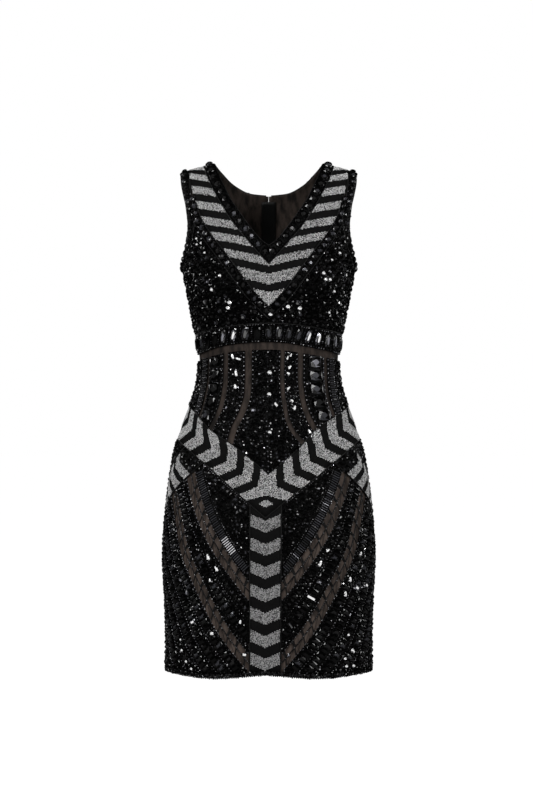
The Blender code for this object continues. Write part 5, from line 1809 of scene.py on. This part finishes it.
def midriff_beads():
    for side, half in SIDES:
        crowd = CROWDS[side]
        beads, grid = beads_on("midriff_inner", "midriff_inner_beads", half, 0.25, 80 + side)
        edge_threads(beads, "midriff_inner", side, crowd)
        strew(beads, grid, side, FINE_SIZES, crowd, 0.14, 0.03, (ROUND, OVAL, DROP))
        beads.make()

        beads, grid = beads_on("midriff_outer", "midriff_outer_stones", half, 0.12, 84 + side)
        edge_threads(beads, "midriff_outer", side, crowd)
        line = grid[:, grid.shape[1] // 2]
        centres = resampled(line, 10)
        points = centres[1::2]
        run = unit(slopes(points)[0])
        beads.add(points, FACETED, CUT_STONE, side, run, STACK, CUT_TONES[side])
        for offset in (-0.3, 0, 0.3):
            crowd.take_all(points + stepped(points, run * CUT_STONE[0] * offset), CUT_STONE[1] * 0.45)
        for row in centres[2:-1:2]:
            rung = grid[int(np.argmin(np.abs(line[:, 1] - row[1]))), 2:-2]
            bead_line(beads, rung, side, 0.0016, 0.0022, 0.3, 0.4, crowd=crowd)
        strew(beads, grid, side, FINE_SIZES[1:], crowd, 0.10, 0.01)
        beads.make()

        beads, grid = beads_on("midriff_side", "midriff_side_beads", half, 0.2, 88 + side)
        edge_threads(beads, "midriff_side", side, crowd, which=("near",))
        edge = EDGES["midriff_side"]["near"]
        rungs(beads, moved(edge, 0.0085), side, crowd)
        bead_line(beads, moved(edge, 0.0150), side, *SMALL_ROW, crowd=crowd)
        strew(beads, grid, side, BODICE_SIZES[1:], crowd, 0.16, 0.02, (ROUND, OVAL))
        beads.make()

    beads = Beads("midriff_centre_beads", ["midriff_centre"], tilt=0.3, seed=92)
    middle = EDGES["midriff_centre"]["near"]
    for side in (1, -1):
        crowd = CROWDS[side]
        edge_threads(beads, "midriff_centre", side, crowd, which=("far",))
        if side > 0:
            bead_line(beads, middle, 1, 0.0027, 0.0082, 0.75, 0.2, crowd=crowd)
            bead_line(beads, middle, 1, 0.0017, 0.0041, 0.0, 0.4, crowd=crowd)
        crowd.take_all(spaced(middle, 0.003)[0], 0.0012)
        strew(beads, LAID["midriff_centre"]["grid"], side, CENTRE_SIZES, crowd, 0.12, 0.014)
    beads.make()


midriff_beads()

# ---- skirt

LADDER_RUNG = (0.0116, 0.0017, 0.0019)
LANE_STONE, LANE_PITCH, LANE_GAP = (0.0148, 0.0080, 0.0046), 0.0090, 0.0186
MIDDLE_LANES = (
    # share of the way across the panel, stone, pitch, kinds
    (0.22, (0.0086, 0.0066, 0.0042), 0.0082, (CUSHION, OVAL, DROP)),
    (0.68, LANE_STONE, LANE_PITCH, (CUSHION,)),
)
# the stretch of the right ladder's rungs that glow, as a painted highlight
LOWER_LANES, GLINT_RUNGS = 5, (0.17, 0.34)
STRIP_PITCH, STRIP_INSET = 0.0066, 0.0002
CHAIN_ROW, STRIP_ROW = (0.0018, 0.0050, 0.9, 0.1), (0.0021, STRIP_PITCH, 0.95, 0.0)
TIE_PITCH, LOWER_REACH, UPPER_REACH, TIE_SPREAD = 0.0227, 0.0090, 0.0048, 0.0034
TIE_RADIUS, FINE_RADIUS = 0.0011, 0.0003
SKIRT_SIZES = ((0.0070, 30000), (0.0054, 70000), (0.0040, 130000), (0.0027, 220000))


def inside_panel(line, grid, margin=0.003):
    """The longest stretch of a line that lies within a panel."""
    good = inside(line, outline_of(grid)) & (from_edge(surface(line), outline_of(grid)) > margin)
    best, start = (0, 0), None
    for k, ok in enumerate([*good, False]):
        if ok and start is None:
            start = k
        if not ok and start is not None:
            if k - start > best[1] - best[0]:
                best = (start, k)
            start = None
    return line[best[0] : best[1]]


def column_of(grid, share, pieces):
    """The column of a panel's grid that is nearest before a share of the way across."""
    return resampled(grid[:, int(share * (grid.shape[1] - 1))], pieces)


def grid_line(grid, share):
    """The line down a panel at exactly a share of the way across."""
    k = share * (grid.shape[1] - 1)
    after = min(int(k) + 1, grid.shape[1] - 1)
    return resampled(grid[:, int(k)] * (1 - k % 1) + grid[:, after] * (k % 1), 240)


def lane_of_stones(beads, line, side, crowd, size, pitch, kinds, degrees, clear=0.0):
    """Cut stones side by side along a line, leaving room for those already set."""
    if len(line) < 4 or lengths(line)[-1] < 3 * pitch:
        return
    points, run = spaced(line, pitch)
    free = np.array([crowd.free(tuple(place), min(size[:2]) * 0.42) for place in surface(points)])
    points, run = points[free], run[free]
    kind = beads.dice.choice(kinds, len(points))
    jitter = beads.dice.uniform(0.86, 1.06, (len(points), 1))
    tone = beads.dice.uniform(0.40, 0.84, len(points))
    tone[beads.dice.uniform(0, 1, len(points)) < clear] = CLEAR_GLINT_TONE
    beads.add(points, kind, np.array(size) * jitter, side, turned(points, run, degrees), STACK, tone)
    crowd.take_all(points, min(size[:2]) * 0.46)
    for offset in (-0.3, 0.3):
        way = turned(points, run, degrees)
        crowd.take_all(points + stepped(points, way * size[0] * offset), min(size[:2]) * 0.36)


def skirt_beads():
    for side, half in SIDES:
        crowd = CROWDS[side]
        beads, grid = beads_on("skirt_upper", "skirt_upper_beads", half, 0.2, 100 + side)
        edge = EDGES["skirt_upper"]["far"]
        bead_line(beads, moved(edge, -STRIP_INSET), side, *STRIP_ROW, crowd=crowd)
        edge, top = resampled(edge, 200), resampled(EDGES["skirt_upper"]["near"], 200)
        bright = GLINT_RUNGS if side < 0 else None
        line = inside_panel(moved(edge, 0.0078), grid, 0.006)
        rungs(beads, line, side, crowd, LADDER_RUNG, 0.0037, 84.0, bright)
        bead_line(beads, inside_panel(moved(edge, 0.0168), grid), side, *SMALL_ROW, crowd=crowd)
        bead_line(beads, inside_panel(moved(top, -0.0022), grid, 0.0012), side, *SMALL_ROW, crowd=crowd)
        line = inside_panel(moved(top, -0.0080), grid, 0.004)
        lane_of_stones(beads, line, side, crowd, (0.0088, 0.0066, 0.004), 0.0098, (OVAL, CUSHION), 0)
        line = inside_panel(resampled(upright(COLUMN + BUTT + 0.0062, -0.57, -0.72), 200), grid, 0.004)
        lane_of_stones(beads, line, side, crowd, (0.0100, 0.0072, 0.004), 0.0108, (OVAL,), 0)
        strew(beads, grid, side, SKIRT_SIZES, crowd, 0.13, 0.025, (ROUND, ROUND, OVAL, DROP))
        beads.make()

        beads, grid = beads_on("skirt_middle", "skirt_middle_stones", half, 0.07, 104 + side)
        edge_threads(beads, "skirt_middle", side, crowd, STRIP_INSET, pitch=STRIP_PITCH)
        for share, size, pitch, kinds in MIDDLE_LANES:
            line = inside_panel(grid_line(grid, share), grid, 0.004)
            lane_of_stones(beads, line, side, crowd, size, pitch, kinds, 90)
        bead_line(beads, inside_panel(grid_line(grid, 0.41), grid), side, *CHAIN_ROW, crowd=crowd)
        beads.make()
        beads, grid = beads_on("skirt_middle", "skirt_middle_small_beads", half, 0.3, 164 + side)
        strew(beads, grid, side, SKIRT_SIZES[2:], crowd, 0.10, 0.02)
        beads.make()

        beads, grid = beads_on("skirt_lower", "skirt_lower_stones", half, 0.07, 108 + side)
        edge = EDGES["skirt_lower"]["near"]
        bead_line(beads, moved(edge, STRIP_INSET), side, *STRIP_ROW, crowd=crowd)
        start, end = edge[:1] + (edge[:1] - edge[3:4]) * 6, edge[-1:] + (edge[-1:] - edge[-4:-3]) * 3
        long_edge = resampled(joined(start, edge, end), 300)
        for k in range(LOWER_LANES):
            lane = 0.0104 + k * LANE_GAP
            line = inside_panel(moved(long_edge, -lane), grid, 0.0055)
            lane_of_stones(beads, line, side, crowd, LANE_STONE, LANE_PITCH, (CUSHION,), 90, 0.012)
            line = inside_panel(moved(long_edge, -lane - LANE_GAP / 2), grid)
            if len(line) > 4:
                bead_line(beads, line, side, *CHAIN_ROW, crowd=crowd)
        beads.make()
        beads, grid = beads_on("skirt_lower", "skirt_lower_small_beads", half, 0.3, 168 + side)
        strew(beads, grid, side, SKIRT_SIZES[1:], crowd, 0.13, 0.035)
        beads.make()

        beads, grid = beads_on("hip_gusset", "gusset_beads", half, 0.2, 112 + side)
        strew(beads, grid, side, SKIRT_SIZES, crowd, 0.13, 0.04, (ROUND, OVAL, DROP))
        beads.make()


def sheer_threads(name, middle, seed):
    """The beaded thread down the middle of a sheer strip, and the threads and ties that slant across it."""
    ties, fine, beads = [], [], Beads(name + "_beads", ["front"], tilt=0.3, seed=seed)
    upper, lower = (moved(middle, way * (SKIRT_SHEER_HALF + TURNED_BACK - 0.0003)) for way in (1, -1))
    at = lambda line, where: [np.interp(where, lengths(middle), line[:, k]) for k in (0, 1)]
    nodes = np.arange(LOWER_REACH + 0.002, lengths(middle)[-1] - UPPER_REACH, TIE_PITCH)
    for side in (1, -1):
        bead_line(beads, middle, side, 0.0015, 0.0034, 0.5, 0.3, lift=CLOTH + 0.0015)
        ties.append((side, resampled(middle, 90)))
        for node in nodes:
            foot, cross, head = at(lower, node - LOWER_REACH), at(middle, node), at(upper, node + UPPER_REACH)
            ties.append((side, joined(np.linspace(foot, cross, 4), np.linspace(cross, head, 4))))
            head_2 = at(upper, node + UPPER_REACH + TIE_SPREAD)
            ties.append((side, np.linspace(at(middle, node + TIE_SPREAD * 0.6), head_2, 4)))
            fine.append((side, np.linspace(foot, at(middle, min(node + TIE_PITCH, lengths(middle)[-1])), 6)))
            knots, bead = [foot, cross, head], (0.0020, 0.0020, 0.0022)
            beads.add(knots, SEED, bead, side, lift=CLOTH + 0.0012, tone=PALE_TONE)
    beads.make()
    for label, paths, radius in (("ties", ties, TIE_RADIUS), ("threads", fine, FINE_RADIUS)):
        laid = [on_block(path, CLOTH + 0.0003) * np.array([side, 1, 1]) for side, path in paths]
        cords(f"{name}_{label}", laid, radius, 6, ["front"])


def cords(name, paths, radius, sides, nodes, finish_name="black_binding"):
    """Cords of one thickness along several paths, as one piece."""
    mesh = bpy.data.meshes.new(name + "_paths")
    counts = np.cumsum([0] + [len(path) for path in paths])
    edges = [(start + k, start + k + 1) for start, path in zip(counts, paths) for k in range(len(path) - 1)]
    mesh.from_pydata(np.concatenate(paths).tolist(), edges, [])
    values = {"Radius": radius, "Sides": sides, "Finish": FINISH[finish_name]}
    made = worked_out(name, mesh, CORD_TREE, values)
    ride(made)
    for node in nodes:
        GOES_WITH[node].append(made)
    return made


def on_both(edge, lift, pieces):
    """The paths of a cord laid along an edge on the left and on the right."""
    path = on_block(resampled(edge, pieces), lift)
    return [path, path * np.array([-1, 1, 1])]


def piping():
    """Thin cords over the joins between the pieces, and round the openings."""
    near = BUTT / 2
    paths = []
    for edge, pieces in (
        (moved(EDGES["trim"], -near), 120),
        (moved(EDGES["bib_outer"], -near), 120),
        (moved(EDGES["border_outer"], -near), 80),
        (moved(EDGES["arm_outer"], near), 120),
        (EDGES["hip_front"]["top"], 90),
        (EDGES["hip_front"]["foot"], 90),
        (EDGES["side_band"]["top"], 40),
        (EDGES["side_band"]["foot"], 40),
        (moved(EDGES["column"], near), 60),
        (EDGES["hip_back"]["top"], 90),
        (EDGES["hip_back"]["foot"], 90),
        (moved(EDGES["bust_foot"], -near), 80),
    ):
        paths += on_both(edge, STACK + 0.0002, pieces)
    cords("piping", paths, 0.0009, 6, WALLS)
    paths = on_both(EDGES["neck"], STACK * 0.55, 140) + on_both(EDGES["arm"], STACK * 0.55, 140)
    cords("edge_piping", paths, 0.0014, 8, WALLS)


HEM_ROWS = (
    # share of the way down the binding, pitch, smallest and largest bead
    (0.15, 0.0048, 0.0036, 0.0050),
    (0.62, 0.0042, 0.0030, 0.0046),
    (1.02, 0.0034, 0.0024, 0.0038),
)
HEM_RAGGED = 0.0005


def hem_beads():
    """Small beads hanging close along the hem."""
    nodes = ["hem_binding_front", "hem_binding_back_left", "hem_binding_back_right"]
    beads = Beads("hem_beads", nodes, tilt=0.4, seed=121)
    for name, sides in (("front", (1,)), ("back", (1, -1))):
        band = EDGES["hem_" + name]
        for share, pitch, smallest, largest in HEM_ROWS:
            points, run = spaced(middle_line(band["top"], band["foot"], share=share), pitch)
            for side in sides:
                size = beads.dice.uniform(smallest, largest, (len(points), 1)) * np.array([1, 1, 0.8])
                way = across(points, run) * beads.dice.uniform(-1, 1, (len(points), 1))
                spots = points + stepped(points, way * HEM_RAGGED)
                beads.add(spots, ROUND, size, side, None, STACK, beads.tones(len(points), 0.3, 0.0))
    beads.make()


skirt_beads()
side_stones()
sheer_threads("ladder_sheer", EDGES["ladder_middle"], 131)
sheer_threads("strip_sheer", EDGES["strip_middle"], 132)
piping()
hem_beads()

# ---- back


def back_beads():
    for side, half in SIDES:
        crowd = Crowd()
        beads, grid = beads_on("back_midriff", "back_midriff_beads", half, 0.25, 140 + side)
        for share in (0.30, 0.52, 0.74, 0.93):
            bead_line(beads, inside_panel(column_of(grid, share, 200), grid), side, *SMALL_ROW, crowd=crowd)
        for share in (0.41, 0.63):
            line = inside_panel(column_of(grid, share, 200), grid, 0.005)
            lane_of_stones(beads, line, side, crowd, (0.0125, 0.0098, 0.005), 0.0112, (CUSHION,), 90)
        strew(beads, grid, side, SKIRT_SIZES, crowd, 0.13, 0.025, (ROUND, ROUND, OVAL))
        beads.make()

        beads, grid = beads_on("back_skirt", "back_skirt_beads", half, 0.25, 144 + side)
        lift = STACK + 3 * SEAM
        for share in (0.22, 0.36, 0.50, 0.64, 0.78, 0.91):
            line = inside_panel(column_of(grid, share, 300), grid)
            bead_line(beads, line, side, 0.0018, 0.0030, 0.35, 0.4, lift, crowd)
        strew(beads, grid, side, SKIRT_SIZES, crowd, 0.13, 0.025, (ROUND, ROUND, ROUND, OVAL, DROP), lift)
        beads.make()


back_beads()

# ---- zip


def zip_details():
    """Teeth up the closed opening, stitching beside it, and the metal of the slider and its tab."""
    levels = seen(np.zeros(400), np.linspace(ZIP_TOP - 0.004, ZIP_FOOT + 0.006, 400), True)
    for node in ("zip_slider", "zip_pull_tab"):
        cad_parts[node].data.materials.clear()
        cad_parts[node].data.materials.append(FINISH["metal"])
    beads = Beads("zip_teeth", ["zip_tape"], "metal", tilt=0.0, seed=151)
    points, _ = spaced(levels, 0.0011)
    outwards = np.array([1.0, 0, 0])
    for k, way in ((0, 1), (1, -1)):
        beads.add(points[k::2], TOOTH, (0.0030, 0.0011, 0.0016), 1, outwards * way, -0.0006, 0.5)
    beads.make()
    paths = []
    for side in (1, -1):
        line = upright(PLACKET / 2 - 0.0008, -0.052, -0.835, True, 160)
        path = on_block(line, CLOTH + 0.0007)
        path[:, 0] *= side
        paths.append(path)
    cords("placket_edges", paths, 0.0008, 6, WALLS[1:])
    seam = seen(np.zeros(120), np.linspace(ZIP_FOOT, HEM + 0.001, 120), True)
    cords("back_seam", [on_block(seam, CLOTH)], 0.0007, 6, WALLS[1:])


zip_details()


def declare_cloth():
    """Works out what each piece of cloth was cut to, and does nothing more with it."""
    for node, laid in LAID.items():
        width, length, area = cut_of(node)


# ---- studio

LENS, DISTANCE = 111.0, 4.1
AIM = (-0.0037, 0.0, -0.393)
FLOOR_BELOW, FLOOR_HALF = 0.34, 30.0
LIGHTS = (
    # x, y, z, width, height, power
    (-1.6, -2.4, 1.1, 0.7, 0.9, 54.0),
    (1.9, -2.2, 0.5, 0.6, 0.8, 34.0),
    (0.2, -2.6, 1.9, 0.4, 0.4, 22.0),
    (-2.2, 1.2, 0.6, 0.6, 1.3, 12.0),
    (2.2, 1.2, 0.4, 0.6, 1.3, 12.0),
)
BACKGROUND, ROOM_LIGHT = 1.0, 0.004


def studio():
    """A pale floor in a white room, soft lights and the camera."""
    floor = HEM - FLOOR_BELOW
    mesh = bpy.data.meshes.new("floor")
    points = [(x, y, floor) for x, y in ((-1, -1), (1, -1), (1, 1), (-1, 1))]
    mesh.from_pydata([(x * FLOOR_HALF, y * FLOOR_HALF, z) for x, y, z in points], [], [(0, 1, 2, 3)])
    mesh.materials.append(paper_finish())
    new_object("floor", mesh)

    aim = Vector(AIM)
    for k, (x, y, z, width, height, power) in enumerate(LIGHTS):
        data = bpy.data.lights.new(f"softbox_{k}", "AREA")
        data.shape = "RECTANGLE"
        data.size, data.size_y, data.energy = width, height, power
        lamp = new_object(f"softbox_{k}", data)
        lamp.location = (x, y, z)
        lamp.rotation_euler = (aim - lamp.location).to_track_quat("-Z", "Y").to_euler()
    world = bpy.data.worlds.new("studio")
    world.use_nodes = True
    world.node_tree.nodes.clear()
    web = Web(world.node_tree)
    seen_directly = web.add("ShaderNodeLightPath").outputs["Is Camera Ray"]
    strength = web.maths("MULTIPLY_ADD", seen_directly, BACKGROUND - ROOM_LIGHT, ROOM_LIGHT)
    shade = web.add("ShaderNodeBackground", {"Color": grey(1.0), "Strength": strength})
    web.add("ShaderNodeOutputWorld", {"Surface": shade.outputs[0]})
    bpy.context.scene.world = world
    bpy.context.scene.view_settings.view_transform = "Standard"

    data = bpy.data.cameras.new("camera")
    data.lens = LENS
    camera = new_object("camera", data)
    camera.location = (AIM[0], AIM[1] - DISTANCE, AIM[2])
    camera.rotation_euler = (math.pi / 2, 0, 0)
    bpy.context.scene.camera = camera


def settle():
    """Slides the front of everything on the dress a little round the body, as it is worn."""
    for made in SETTLED:
        places = np.empty(len(made.data.vertices) * 3)
        made.data.vertices.foreach_get("co", places)
        places = places.reshape(-1, 3)
        turn = np.arctan2(places[:, 0], -places[:, 1])
        low = (places[:, 2] < SLIDE[-2][0]) & (np.abs(turn) < math.pi / 2)
        points = np.stack([turn, places[:, 2]], axis=-1)[low]
        turned_by = slide(points[:, 0], points[:, 1]) / block(points[:, 1])[1]
        way = surface(points + np.stack([turned_by, np.zeros(len(points))], axis=-1)) - surface(points)
        places[low] += way * np.array([1, 1, 0])
        made.data.vertices.foreach_set("co", places.ravel())
        made.data.update()


settle()
declare_cloth()
studio()
